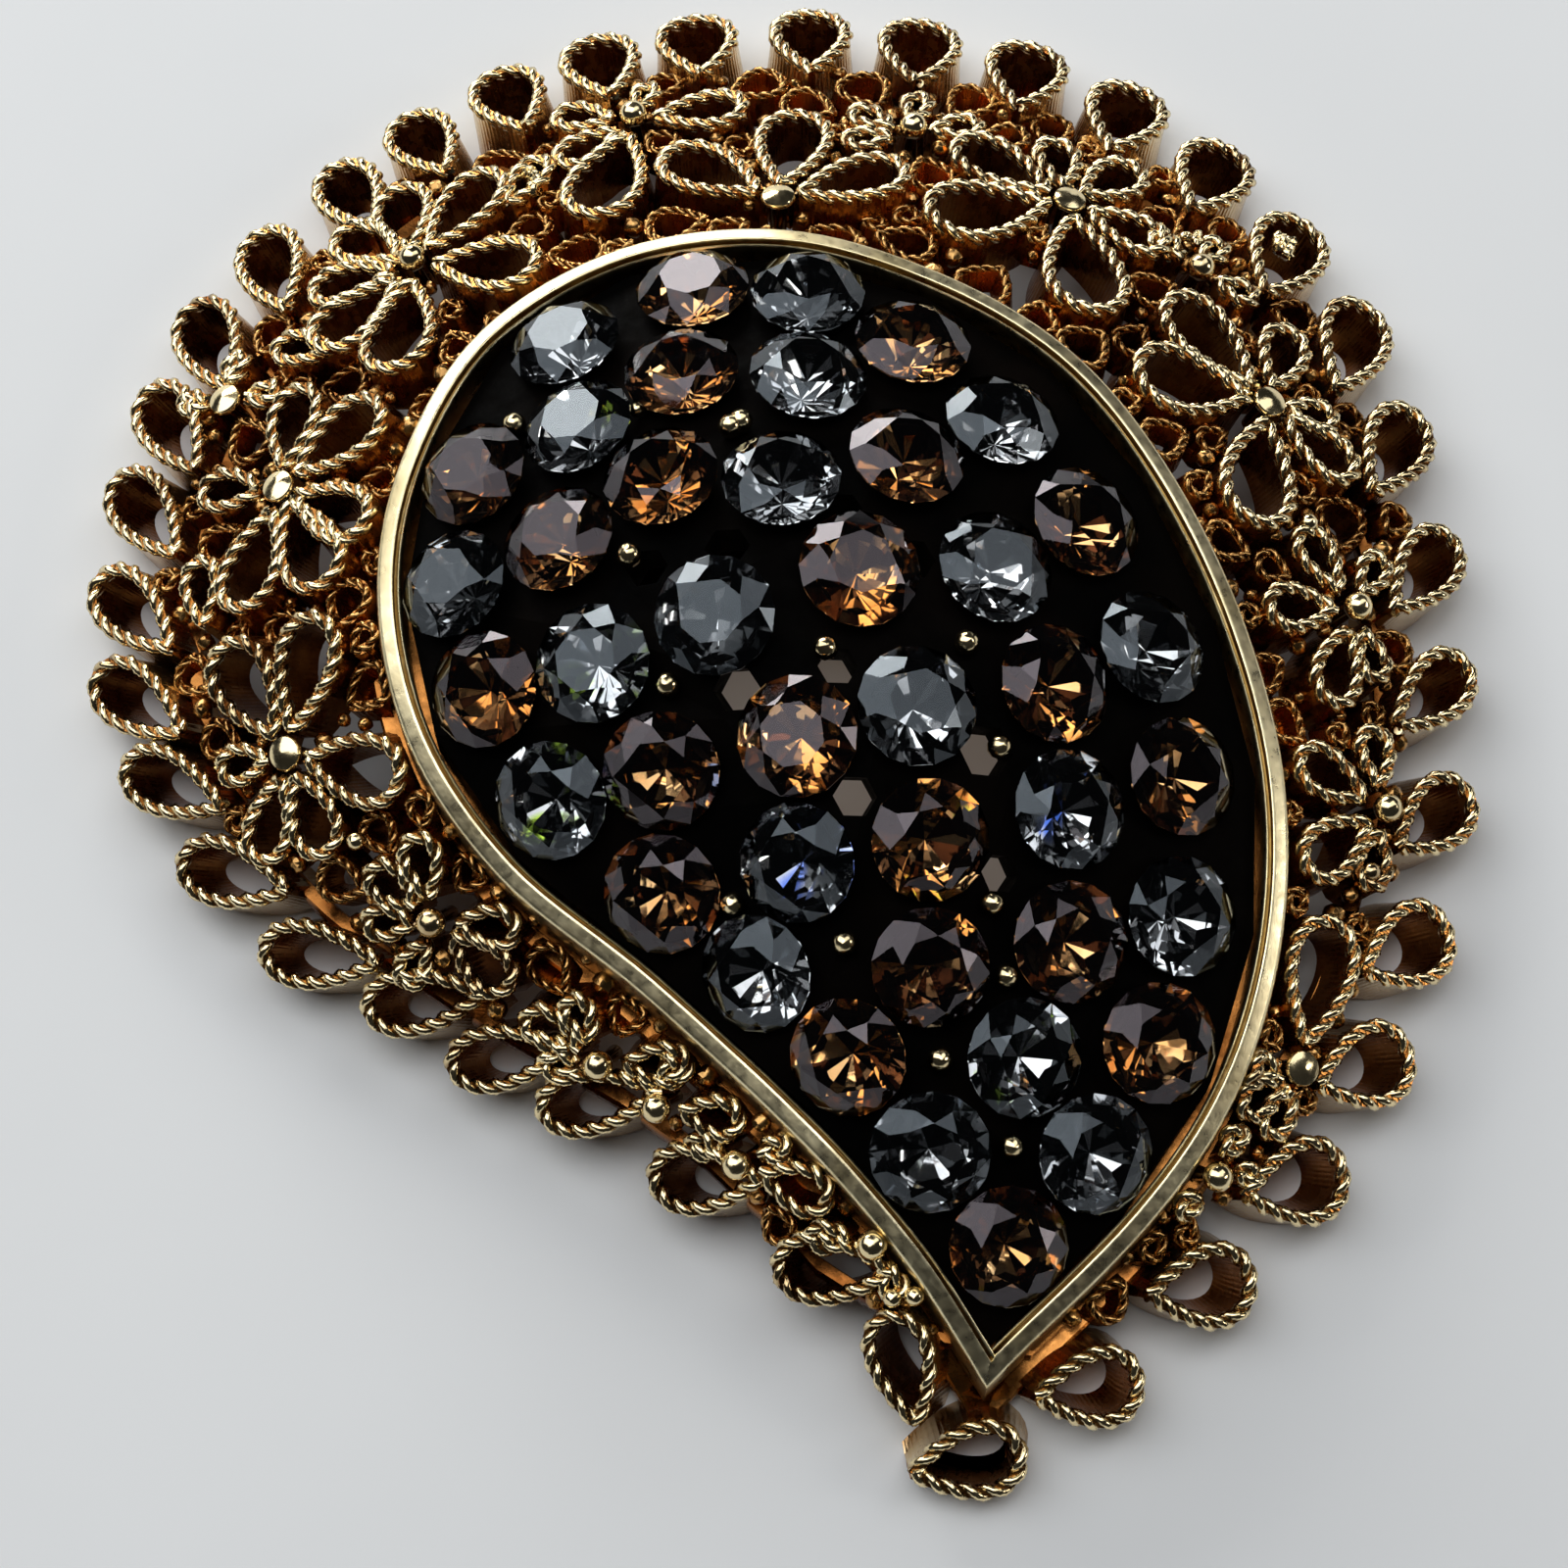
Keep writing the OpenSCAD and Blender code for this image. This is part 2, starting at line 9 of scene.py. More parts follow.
import bpy
import numpy as np
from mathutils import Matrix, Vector


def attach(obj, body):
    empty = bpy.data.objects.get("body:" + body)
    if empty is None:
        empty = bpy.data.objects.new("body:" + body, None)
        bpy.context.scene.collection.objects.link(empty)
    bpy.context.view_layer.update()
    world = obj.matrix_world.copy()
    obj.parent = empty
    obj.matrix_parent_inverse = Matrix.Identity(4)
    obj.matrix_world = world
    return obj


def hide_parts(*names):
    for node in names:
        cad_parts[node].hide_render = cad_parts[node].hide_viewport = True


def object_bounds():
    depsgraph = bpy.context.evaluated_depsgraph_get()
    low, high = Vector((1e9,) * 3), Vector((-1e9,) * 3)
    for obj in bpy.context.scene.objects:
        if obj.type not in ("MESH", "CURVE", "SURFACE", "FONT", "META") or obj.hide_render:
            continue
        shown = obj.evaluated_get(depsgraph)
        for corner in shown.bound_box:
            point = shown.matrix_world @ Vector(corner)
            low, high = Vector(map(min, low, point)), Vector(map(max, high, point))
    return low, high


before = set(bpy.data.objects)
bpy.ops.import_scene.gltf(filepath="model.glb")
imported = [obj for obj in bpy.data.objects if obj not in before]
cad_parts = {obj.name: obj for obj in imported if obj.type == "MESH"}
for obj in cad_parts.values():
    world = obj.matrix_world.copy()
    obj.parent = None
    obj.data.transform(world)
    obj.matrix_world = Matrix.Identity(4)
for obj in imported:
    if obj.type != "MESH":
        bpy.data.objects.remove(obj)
cad_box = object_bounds()

SEED = 11
rng = np.random.default_rng(SEED)

MM = 0.001
BOX_MARGIN = 0.00001
NEVER_ZERO = 1e-9
FULL_TURN = 2 * math.pi
# Middle of the whole brooch's plan, from the middle of the dome
PLAN_MIDDLE = np.array([-0.13, 0.365, 0.0])

# Sizes of the domed surface. The rim's radius is evened out over the blur, in degrees to
# each side, and the slope is taken over the reach to each side.
RIM_Z = 1.8
DOME_RISE = 9.6
TOP_ROUND = 0.3
RIM_BLUR = 8
SLOPE_REACH = 0.6

# Sizes of the filigree that it shares with the solids; FULL_WIDTH is the width of the plain
# drop curve
LOOP_LEN = 4.3
LOOP_W = 2.6
STRIP_H = 2.0
STRIP_T = 0.52
RIM_EXTRA = 0.5
BOSS_D = 1.1
BOSS_GAP = 0.25
PETAL_ASPECT = 0.55
PLAN_SHARE = 0.88
FULL_WIDTH = 0.77

# Sizes of the cup and of the back that they share with the solids
BAND_W = 0.82
PLATE_BOTTOM = 1.9
RIB_SHARE = 0.84
RIB_W = 0.6
RIB_H = 0.9
RIB_DROP = 1.6
LEDGE_DROP = 2.0
LEDGE_H = 0.65
LEDGE_IN = 1.25
LEDGE_OUT = 0.6

# Sizes of the stones that they share with the solids
STONE_D = 3.7
CROWN_H = 0.75
PAVILION_H = 1.45
TABLE_SHARE = 0.56
STONE_TURN = 40

# Radius of the rim from the middle of the dome, by polar angle: [angle, radius]
RIM_RADIUS = np.array([
    [0, 24.2], [20, 25.2], [40, 26.9], [60, 27.8], [80, 27.8], [100, 27.7], [120, 27.2],
    [140, 26.5], [160, 25.2], [180, 24.0], [200, 21.1], [220, 18.3], [240, 17.3],
    [250, 17.7], [260, 18.8], [270, 21.2], [281, 27.2], [290, 26.8], [300, 25.9],
    [320, 25.0], [340, 24.1], [360, 24.2]])

# Outer edge of the band, clockwise from the tip: [x, y]
BAND_STATIONS = np.array([
    [6.4, -23.7], [3.8, -20.0], [0.1, -15.9], [-4.5, -11.6], [-9.2, -7.8], [-12.2, -3.5],
    [-13.4, 1.6], [-12.8, 6.6], [-10.3, 11.5], [-5.6, 14.6], [0.0, 15.2], [5.2, 13.4],
    [9.6, 10.5], [12.7, 6.5], [15.1, 1.4], [16.4, -4.0], [16.2, -9.4], [14.6, -14.4],
    [11.6, -18.7], [6.4, -23.7]])
# The outline has this many points to each span between two stations
EDGE_STEPS = 8

# Runs of loops along the rim: [first polar angle, last polar angle, loops]
RIM_RUNS = [[296, 340, 5], [352, 386, 4], [396, 448, 7], [457, 481, 4], [488, 520, 5],
            [529, 546, 3], [556, 601, 5], [615, 629, 2]]

# Loops by polar angle: [angle, turn from straight out, share of the rim's radius,
# length in LOOP_LEN, width in LOOP_W, share of the way to a level side]
RIM_TURNS = np.array([
    [296, 74, 0.99, 0.97, 1.06, 0], [307, 63, 0.985, 1, 1.12, 0],
    [329, 54, 0.985, 1.03, 1.12, 0], [341, 52, 0.985, 1.05, 1.12, 0],
    [352, 50, 0.975, 1.05, 1.06, 0], [363, 42, 0.97, 1.15, 1.04, 0],
    [386, 36, 0.97, 1.18, 1.1, 0], [396, 34, 0.975, 1.2, 1.12, 0],
    [404, 20, 0.98, 1.2, 1.18, 0], [414, 11, 0.995, 1.12, 1.2, 0],
    [430, 8, 1.005, 1.08, 1.2, 0], [440, 6, 1, 1.05, 1.2, 0],
    [455, 0, 1, 1, 1.2, 0], [484, -2, 1, 1.12, 1.1, 0],
    [489, -12, 0.998, 1.18, 1.05, 0], [497, -28, 0.995, 1.22, 1.02, 0],
    [504, -30, 1.005, 1.28, 1.04, 0], [512, -32, 1, 1.28, 1.02, 0],
    [528, -36, 0.99, 1.25, 1, 0], [537, -36, 0.985, 1.22, 0.98, 0],
    [547, -34, 0.98, 1.18, 0.95, 0.1], [567, -38, 0.98, 1.18, 0.92, 0.4],
    [578, -37, 0.965, 1.18, 0.9, 0.4], [589, -44, 0.965, 1.15, 0.9, 0.4],
    [601, -56, 0.965, 1.18, 0.92, 0.4], [615, -81, 0.955, 1.08, 0.95, 0.4],
    [630, -95, 0.95, 1.07, 0.95, 0.3]])

# Loops that close the tip: [x and y of the round end, heading, length, width]
TIP_LOOPS = [[3.2, -21.4, 106, 4.4, 2.5], [7.5, -25.6, 10, 4.3, 2.7]]

# Rosettes on the slope: [x, y, boss, [heading and reach of each petal]]
ROSETTES = [
    [-0.2, 17.2, "disc", [[22, 5], [81, 5.2], [146, 5]]],
    [10.1, 17.9, "disc", [[-88, 5.8], [-29, 4], [38, 3.9], [92, 3.5], [145, 4.8], [196, 5.6]]],
    [16.8, 10, "disc", [[-104, 5.4], [-37, 4.1], [-3, 2.9], [67, 3.9], [132, 5.2], [176, 5.3]]],
    [-17.3, 6.7, "disc", [[-105, 4.8], [-61, 4.9], [-30, 4.4], [35, 4.7], [85, 4.2], [170, 3.5]]],
    [-16.6, -3, "disc", [[-113, 3.9], [-72, 3.9], [-19, 4.7], [70, 4.9], [119, 4.8], [182, 2.9]]],
    [-13, 15.5, "ball", [[-91, 5.2], [-134, 4.8], [-171, 4.1], [146, 4.2], [108, 4.5], [60, 5],
                         [-11, 5]]],
    [-5.4, 21.7, "ball", [[-139, 3.5], [-102, 5.6], [8, 4.2], [79, 2.3], [168, 3.2]]],
    [19.4, 2.5, "ball", [[-171, 3.7], [-108, 4], [-69, 2.8], [58, 2.8], [126, 3.4]]],
    [20.1, -4.5, "ball", [[-141, 4.1], [-102, 3], [98, 3], [158, 3.8]]],
    [16.9, -13.4, "disc", [[-175, 2.6], [-142, 2.8], [-114, 2.7], [81, 5.2]]],
    [13.9, -17, "ball", [[-128, 1.9], [7, 1.8], [63, 2]]],
    [-11.5, -8.8, "ball", [[-127, 2.7], [-48, 3.5], [-12, 3.1], [93, 3.1], [135, 3], [175, 2.7]]],
    [-6, -13.4, "ball", [[-7, 3.2], [107, 2.6], [142, 3.2], [176, 2.3]]],
    [-4.1, -14.8, "ball", [[-17, 3], [62, 1.9]]],
    [-1.5, -16.7, "ball", [[-29, 3.4], [12, 2], [151, 2.1]]],
    [2.8, -19.4, "ball", [[-75, 2.1], [170, 2.4]]],
    [4.6, 20.9, "ball", [[-164, 2.7], [15, 2.8], [80, 2.5], [151, 2.6]]],
    [-19.6, 10.8, "disc", [[0, 2.3], [85, 2.2], [170, 2.2]]],
    [14.6, 15.3, "ball", [[-20, 2.5], [55, 2.3], [130, 2.4]]],
]

# Petals between the rosettes: [x and y of the root, heading, length]
LONE_PETALS = [[-19.7, 1.5, 98, 3.2], [-15.3, 12, 163, 3.2], [-10, 17.4, 62, 3.2]]

# Stones, ring by ring and clockwise from the top: [x, y]. The kinds alternate in the outer
# two rings, and the inner ring has its own list.
OUTER_RING = [
    [0.8, 12.3], [4.3, 10.2], [7.2, 7.2], [9.9, 3.7], [12.0, -0.4], [12.9, -4.6],
    [12.8, -9.1], [12.0, -13.1], [9.9, -16.6], [7.1, -19.5], [4.6, -16.8], [2.0, -14.0],
    [-0.9, -11.3], [-3.9, -8.7], [-7.5, -5.7], [-9.7, -2.1], [-10.8, 1.6], [-10.3, 5.6],
    [-7.4, 10.6], [-3.1, 12.6]]
MIDDLE_RING = [
    [-3.4, 8.8], [0.8, 8.5], [4.0, 5.3], [6.8, 1.5], [8.7, -2.2], [9.1, -6.2], [9.1, -10.3],
    [7.6, -13.9], [4.6, -11.4], [0.4, -8.3], [-3.9, -5.2], [-6.1, -1.8], [-7.3, 2.6],
    [-6.8, 6.9]]
INNER_RING = [
    [-4.0, 4.5], [-0.1, 4.2], [2.4, 0.9], [4.2, -3.5], [4.6, -7.6], [0.4, -4.6], [-2.2, -0.7]]
INNER_KINDS = [1, 0, 1, 0, 1, 1, 0]
KINDS = ["smoke", "topaz"]
STONES = ([(p, i % 2) for i, p in enumerate(OUTER_RING)]
          + [(p, (i + 1) % 2) for i, p in enumerate(MIDDLE_RING)]
          + [(p, INNER_KINDS[i]) for i, p in enumerate(INNER_RING)])

# Points of a drop curve, and the least steps of an evened curve
DROP_POINTS = 240
LEAST_STEPS = 8

# Twisted wires: their radius, the length of a turn, the step along them and the sides of a
# strand; then the strands' shares of the radius, the scatter, and the painted shade in the
# groove between the strands and on the wire's underside
ROPE_R = 0.3
ROPE_PITCH = 1.28
ROPE_STEP = 0.13
ROPE_SIDES = 8
ROPE_SINK = 0.01
STRAND_REACH = 0.5
STRAND_R = 0.53
RADIUS_SCATTER = (0.93, 1.02)
PITCH_SCATTER = (0.94, 1.06)
PHASES = (0, 6.28)
GROOVE_SHADE = 0.55
GROOVE_SWING = 0.75
UNDERSIDE_SHADE = 0.6

# Strips below the wires: thickness, the depths and added half widths of four levels, and the
# painted shade, which grows down the strip
WALL_T = 0.34
WALL_STEP = 0.3
WALL_TOP = 0.18
WALL_DEPTHS = (0.34, 0.67, 1.0)
WALL_FLARE = (0.0, 0.03, 0.11, 0.2)
WALL_SHADE = 0.25
WALL_SHADE_BELOW = 0.65

# How far the point lies inside the solid's, in strip thicknesses, and how widths may differ
ROOT_SHIFT = 1.1
WIDTH_SCATTER = 0.04
WIDEST = 1.03

# Room left beside the band's outline
ROPE_GAP = 0.05
WALL_GAP = 0.12
RIB_GAP = 0.15

# Discs: [share of the boss's radius, height, painted shade]; balls: painted shade from the foot
# to the top; both are darkest at the foot
DISC_PROFILE = [
    [0.5, -1.6, 1.0], [0.62, -0.4, 1.0], [1.02, -0.28, 0.7], [1.1, -0.2, 0.3],
    [1.1, -0.12, 0.1], [1.0, -0.04, 0.0], [0.8, 0.0, 0.0], [0.5, 0.05, 0.0],
    [0.05, 0.08, 0.0]]
BALL_SHADES = [1.0, 0.9, 0.7, 0.5, 0.3, 0.1, 0.05, 0.0, 0.0, 0.0]
BALL_FOOT = (0.5, -1.6)
BALL_SHARE = 0.9
BALL_LIFT = 0.05
BALL_ARC = (-0.38 * math.pi, 0.49 * math.pi)
LATHE_SIDES = 28

# Gaps of the filigree that stay open to the floor, as in the photo: [x, y]
OPEN_GAPS = np.array([
    [-3.8, 17.5], [-10.9, 12.9], [8.5, 14.3], [11.5, 11.6], [13.6, 7.1], [15.8, 3.7],
    [16.4, 1.0], [-13.6, 5.4], [-13.2, -2.3], [5.8, -23.4]])
# Gold beads between the stones: [x, y], how far a better place is sought, and their radius
BEADS = np.array([
    [-4.1, 8.5], [-2.7, 7.5], [-1.0, 7.7], [-9.4, 6.4], [-6.1, 2.8], [1.3, -1.9],
    [6.4, -0.6], [-3.9, -2.0], [7.1, -4.6], [-1.1, -8.9], [6.2, -9.1], [1.7, -10.1],
    [7.3, -11.9], [4.6, -13.6], [7.8, -15.5]])
BEAD_TRIES = 400
BEAD_SEARCH = 1.1
BEAD_PULL = 0.25
BEAD_LEAST = 0.26
BEAD_MOST = 0.42
BEAD_HEIGHT = -0.2

# Lone grains of solder: [x, y], and lumps of several grains: [x, y, radius]
GRAINS = [[3.4, -21.0], [4.1, -21.0], [17.9, 5.4], [19.5, -6.7], [-14.1, -6.1]]
LUMPS = [[18.1, 17.4, 0.55], [-9.0, 18.9, 0.5], [14.6, 16.9, 0.3]]
GRAIN_R = 0.34
GRAIN_HEIGHT = -0.15
GRAIN_ROWS = 7
GRAIN_SIDES = 10
GRAIN_POLE = 0.98
# Painted shade at a grain's underside, fading to none at its top
GRAIN_SHADE = 0.8
LUMP_GRAINS = 9
LUMP_SPREAD = 0.5
LUMP_GRAIN_SHARE = (0.35, 0.6)
LUMP_HEIGHT = -0.2
LUMP_ROUGHNESS = 0.12

# Curls and grains that fill the slope: tried spots, room kept free, and sizes
SPOTS = 7000
SPOT_MARGIN = 2.6
SPOT_LEAST_AREA = 0.1
OPEN_RADIUS = 0.8
EDGE_ROOM = 0.1
BOSS_ROOM = 0.35
LEAST_ROOM = 0.3
NEXT_ROOM = 0.05
CURL_LEAST_ROOM = 0.56
CURL_MARGIN = 0.2
CURL_MOST = 1.0
CURL_R = 0.19
CURL_PITCH = 0.95
CURL_SINK = (0.3, 0.9)
CURL_WIDTH = (1.5, 1.9)
CURL_DEPTH = (0.9, 1.3)
FILL_GRAIN_ROOM = 0.9
FILL_GRAIN_SHARE = 0.8
FILL_GRAIN_SINK = (0.5, 1.0)
FILL_GRAIN_ROUGHNESS = 0.05

# The rib's section: [share of half its width, share of its height], and its step in degrees
RIB_SECTION = [(0.75, 0), (-0.75, 0), (-1, -0.15), (-1, -0.85), (-0.75, -1), (0.75, -1),
               (1, -0.85), (1, -0.15)]
RIB_STEP = 3
# Painted shade over all of the rib and all of the ledge, which lie under the brooch
RIB_SHADE = 0.7
LEDGE_BEVEL = 0.08
LEDGE_SHADE = 0.6
# The tie from the top rosette to the ledge: [x, y, depth under the dome] of both ends
TIE_ENDS = [[-0.2, 17.2, 1.9], [-0.1, 14.8, 2.6]]
TIE_STEP = 0.3
TIE_R = 0.32
TIE_PITCH = 1.8
TIE_SIDES = 8

# The band's section, from its outer foot over its two ridges inwards: [inset from the
# outline, height above the dome, painted shade]. The painted shade is none on the ridge tops
# and darkest in the groove and down the walls.
BAND_SECTION = [
    [0, -PLATE_BOTTOM, 1.0], [0, 0.14, 0.6], [0.03, 0.24, 0.1], [0.08, 0.31, 0.0],
    [0.14, 0.35, 0.25], [0.44, 0.47, 0.25], [0.5, 0.5, 0.0], [0.54, 0.49, 0.0],
    [0.56, 0.4, 0.7], [0.57, 0.12, 1.3], [0.66, 0.1, 1.3], [0.67, 0.3, 0.8],
    [0.69, 0.38, 0.2], [0.73, 0.4, 0.0], [0.77, 0.38, 0.2], [0.79, 0.3, 0.7],
    [BAND_W, 0.0, 1.0], [BAND_W, -PLATE_BOTTOM, 1.0]]

# The stones' cut: shares of the radius and of the heights, and how far stones may differ
TABLE_TRIM = 0.97
STAR_SHARE = 0.77
CROWN_SHARE = 0.9
HALF_FACET = 22.5
GIRDLE_HALF = 0.03
FAN_SHARE = 0.52
FAN_DEPTH = 0.5
FAN_SCATTER = 0.09
STONE_TILT = 0.035
STONE_MOST = 1.06
STONE_GAP = 0.04
# Painted flashes in the fan: chance of bright foil, and what is added for a facet that faces
# the tip, where the flashes fall under the lights: even, odd facets
BRIGHT_CHANCE = ((0.55, 0.45), (0.25, 0.35))
OUTER_CHANCE = 0.75

# The stage, in metres; the tones are the floor's darkest and lightest
FLOOR_HALF = 0.6
FLOOR_TONES = ((0.76, 0.772, 0.786), (0.82, 0.832, 0.846))
FLOOR_ROUGHNESS = 0.75
WORLD_COLOUR = (0.95, 0.97, 1.0, 1)
WORLD_STRENGTH = 0.02
# Lights: (name, place, target, size, power, colour); the last one lights the floor under
# the plate
LIGHTS = [
    ("sky_left", (-0.26, 0.12, 0.46), (0, 0, 0), (0.4, 0.72), 1.95, (0.97, 0.99, 1.0)),
    ("sky_right", (0.17, 0.14, 0.5), (0, 0, 0), (0.26, 0.66), 0.75, (0.98, 0.99, 1.0)),
    ("window", (-0.15, 0.37, 0.125), (0, 0, 0), (0.28, 0.16), 1.2, (1.0, 1.0, 0.97)),
    ("side", (0.34, -0.02, 0.16), (0, 0, 0), (0.1, 0.1), 0.15, (1.0, 0.97, 0.92)),
    ("below", (0.003, -0.003, 0.0032), (0.003, -0.003, 0), (0.018, 0.018), 0.00016,
     (1.0, 0.8, 0.65))]

# The camera of the photo: its focal length in pixels of the photo's width, its tilt from
# straight down in degrees, the point it looks at and its distance from it in metres
SENSOR_W = 36.0
FOCAL_PIXELS = 3437.5
PHOTO_PIXELS = 1600
CAMERA_TILT = 20.0
CAMERA_AIM = np.array([0.0, -4.5, 6.0])
CAMERA_DISTANCE = 0.110
CAMERA_RANGE = (0.005, 5.0)

# The domed surface


def rim_raw(a):
    """The rim's radius at a polar angle, straight between the table's rows."""
    return float(np.interp(a % 360, RIM_RADIUS[:, 0], RIM_RADIUS[:, 1]))


def rim_at(a):
    """The rim's radius, evened out."""
    return (rim_raw(a - RIM_BLUR) + 2 * rim_raw(a) + rim_raw(a + RIM_BLUR)) / 4


def dome(x, y):
    """Height of the domed surface."""
    share = math.hypot(x, y) / rim_at(math.degrees(math.atan2(y, x)))
    fall = math.sqrt(TOP_ROUND**2 + share**2) - TOP_ROUND
    return RIM_Z + DOME_RISE * (1 - fall / (math.sqrt(TOP_ROUND**2 + 1) - TOP_ROUND))


def unit(v):
    """The vector at length 1."""
    return v / np.linalg.norm(v)


def stand(x, y, heading=0.0):
    """Origin and axes (ahead, side, out) of a place on the dome."""
    e = SLOPE_REACH
    slope_x = (dome(x + e, y) - dome(x - e, y)) / (2 * e)
    slope_y = (dome(x, y + e) - dome(x, y - e)) / (2 * e)
    out = unit(np.array([-slope_x, -slope_y, 1.0]))
    h = math.radians(heading)
    climb = math.cos(h) * slope_x + math.sin(h) * slope_y
    ahead = unit(np.array([math.cos(h), math.sin(h), climb]))
    return np.array([x, y, dome(x, y)]), ahead, np.cross(out, ahead), out


def placed(fr, pts):
    """Local points (n, 3) of a frame from stand(), in the dome's own frame."""
    o, ahead, side, out = fr
    pts = np.asarray(pts, float)
    return o + pts[:, :1] * ahead + pts[:, 1:2] * side + pts[:, 2:3] * out


# Points and loops in plan


def within(pts, loop):
    """Which of the points lie inside a closed loop."""
    x, y = pts[:, :1], pts[:, 1:2]
    following = np.roll(loop, -1, 0)
    step = following - loop
    rise = np.where(step[:, 1] == 0, NEVER_ZERO, step[:, 1])
    crosses = (loop[:, 1] > y) != (following[:, 1] > y)
    before = x < loop[:, 0] + (y - loop[:, 1]) * step[:, 0] / rise
    return (crosses & before).sum(1) % 2 == 1


def spread(pts, others):
    """Distance of each point from the nearest of the others."""
    return np.sqrt(((pts[:, None] - others[None]) ** 2).sum(2)).min(1)


# The band's outline


def outline(steps):
    """A smooth closed curve through the band's stations, with steps points to a span."""
    b = BAND_STATIONS
    last = len(b) - 1
    pts = []
    for i in range(last):
        p0 = b[i - 1] if i > 0 else 2 * b[0] - b[1]
        p3 = b[i + 2] if i + 2 <= last else 2 * b[last] - b[last - 1]
        p1, p2 = b[i], b[i + 1]
        for k in range(steps):
            t = k / steps
            pts.append(0.5 * (2 * p1 + (p2 - p0) * t + (2 * p0 - 5 * p1 + 4 * p2 - p3) * t**2
                              + (3 * p1 - p0 - 3 * p2 + p3) * t**3))
    return np.array(pts)


EDGE = outline(EDGE_STEPS)
EDGE_STEP = np.roll(EDGE, -1, 0) - EDGE
EDGE_IN = np.stack([EDGE_STEP[:, 1], -EDGE_STEP[:, 0]], 1)
EDGE_IN /= np.linalg.norm(EDGE_IN, axis=1)[:, None]
EDGE_Z = np.array([dome(x, y) for x, y in EDGE])


def band_ring(d, height):
    """The outline moved into the pear by d, with a mitre at the tip, height above the dome."""
    a, b = np.roll(EDGE_IN, 1, 0), EDGE_IN
    inset = EDGE + d * (a + b) / (1 + (a * b).sum(1))[:, None]
    return np.c_[inset, EDGE_Z + height]


def kept_out(pts, gap):
    """Points that would enter the band, moved out to gap beside its outline."""
    pts = np.array(pts, float)
    p = pts[:, None, :2]
    t = ((p - EDGE[None]) * EDGE_STEP[None]).sum(2) / (EDGE_STEP**2).sum(1)[None]
    near = EDGE[None] + np.clip(t, 0, 1)[..., None] * EDGE_STEP[None]
    dist = np.linalg.norm(p - near, axis=2)
    k = dist.argmin(1)
    rows = np.arange(len(pts))
    signed = np.where(within(pts, EDGE), -dist[rows, k], dist[rows, k])
    move = signed < gap
    pts[move, :2] = near[rows, k][move] - EDGE_IN[k][move] * gap
    return pts


# Meshes


class Build:
    """One piece in millimetres: points with their painted shade and place along a strip, and
    faces with their material's index."""

    def __init__(self):
        self.points, self.ages, self.runs = [], [], []
        self.faces, self.mats = [], []
        self.count = 0

    def add(self, points, faces, age=0.0, run=0.0, mats=None):
        """Adds faces; age and run have one value or one for each point, mats one a face."""
        points = np.asarray(points, float)
        self.points.append(points)
        self.ages.append(np.broadcast_to(np.asarray(age, float), len(points)))
        self.runs.append(np.broadcast_to(np.asarray(run, float), len(points)))
        self.faces += [tuple(i + self.count for i in face) for face in faces]
        self.mats += mats or [0] * len(faces)
        self.count += len(points)

    def grid(self, rings, run_closed=False, age=0.0, run=0.0, caps=False, mats=None):
        """Skin over closed rings, shaped (rings, points, 3). The painted shade and run spread
        over the rings and their points, and mats has one index for each point of a ring."""
        r, k, _ = rings.shape
        strips = np.arange(r if run_closed else r - 1)
        i, j = np.meshgrid(strips, np.arange(k), indexing="ij")
        a, b = i * k + j, (i + 1) % r * k + j
        c, d = (i + 1) % r * k + (j + 1) % k, i * k + (j + 1) % k
        faces = np.stack([a, d, c, b], -1).reshape(-1, 4).tolist()
        face_mats = list(mats or [0] * k) * len(strips)
        if caps:
            faces.append(list(range(k)))
            faces.append(list(range(r * k - 1, (r - 1) * k - 1, -1)))
            face_mats += [0, 0]
        self.add(rings.reshape(-1, 3), faces, np.broadcast_to(age, (r, k)).ravel(),
                 np.broadcast_to(run, (r, k)).ravel(), face_mats)

    def piece(self, name, materials, slot, nodes=(), sharp=None):
        """Makes the object; edges over the angle sharp stay sharp, or all without it."""
        v = (np.concatenate(self.points) - PLAN_MIDDLE) * MM
        v = np.clip(v, np.array(cad_box[0]) + BOX_MARGIN, np.array(cad_box[1]) - BOX_MARGIN)
        mesh = bpy.data.meshes.new(name)
        mesh.from_pydata(v.tolist(), [], self.faces)
        for key, values in (("age", self.ages), ("run", self.runs)):
            att = mesh.attributes.new(key, "FLOAT", "POINT")
            att.data.foreach_set("value", np.concatenate(values).astype(np.float32))
        for material in materials:
            mesh.materials.append(material)
        mesh.polygons.foreach_set("material_index", self.mats)
        if sharp is None:
            mesh.shade_flat()
        else:
            mesh.shade_smooth()
            mesh.set_sharp_from_angle(angle=math.radians(sharp))
        mesh.update()
        obj = bpy.data.objects.new(name, mesh)
        bpy.context.scene.collection.objects.link(obj)
        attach(obj, "root")
        if nodes:
            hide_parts(*nodes)
        return obj


# Curves, twisted wires and strips


def even(pts, step, closed=True):
    """The curve through pts again at even steps, and the length up to each step."""
    loop = np.vstack([pts, pts[:1]]) if closed else np.asarray(pts, float)
    length = np.r_[0, np.cumsum(np.linalg.norm(np.diff(loop, axis=0), axis=1))]
    n = max(LEAST_STEPS, int(round(length[-1] / step)))
    s = np.linspace(0, length[-1], n + 1)
    return np.stack([np.interp(s, length, loop[:, c]) for c in range(loop.shape[1])], 1), s


def drop(start, end, width):
    """The drop curve that petals and loops follow, from its point and round."""
    t = FULL_TURN * np.arange(DROP_POINTS) / DROP_POINTS
    return np.stack([(start + end) / 2 - (end - start) / 2 * np.cos(t),
                     width / 2 / FULL_WIDTH * np.sin(t) * np.sin(t / 2)], 1)


def along(c):
    """Unit tangents of a curve."""
    t = np.gradient(c, axis=0)
    return t / np.maximum(np.linalg.norm(t, axis=1), NEVER_ZERO)[:, None]


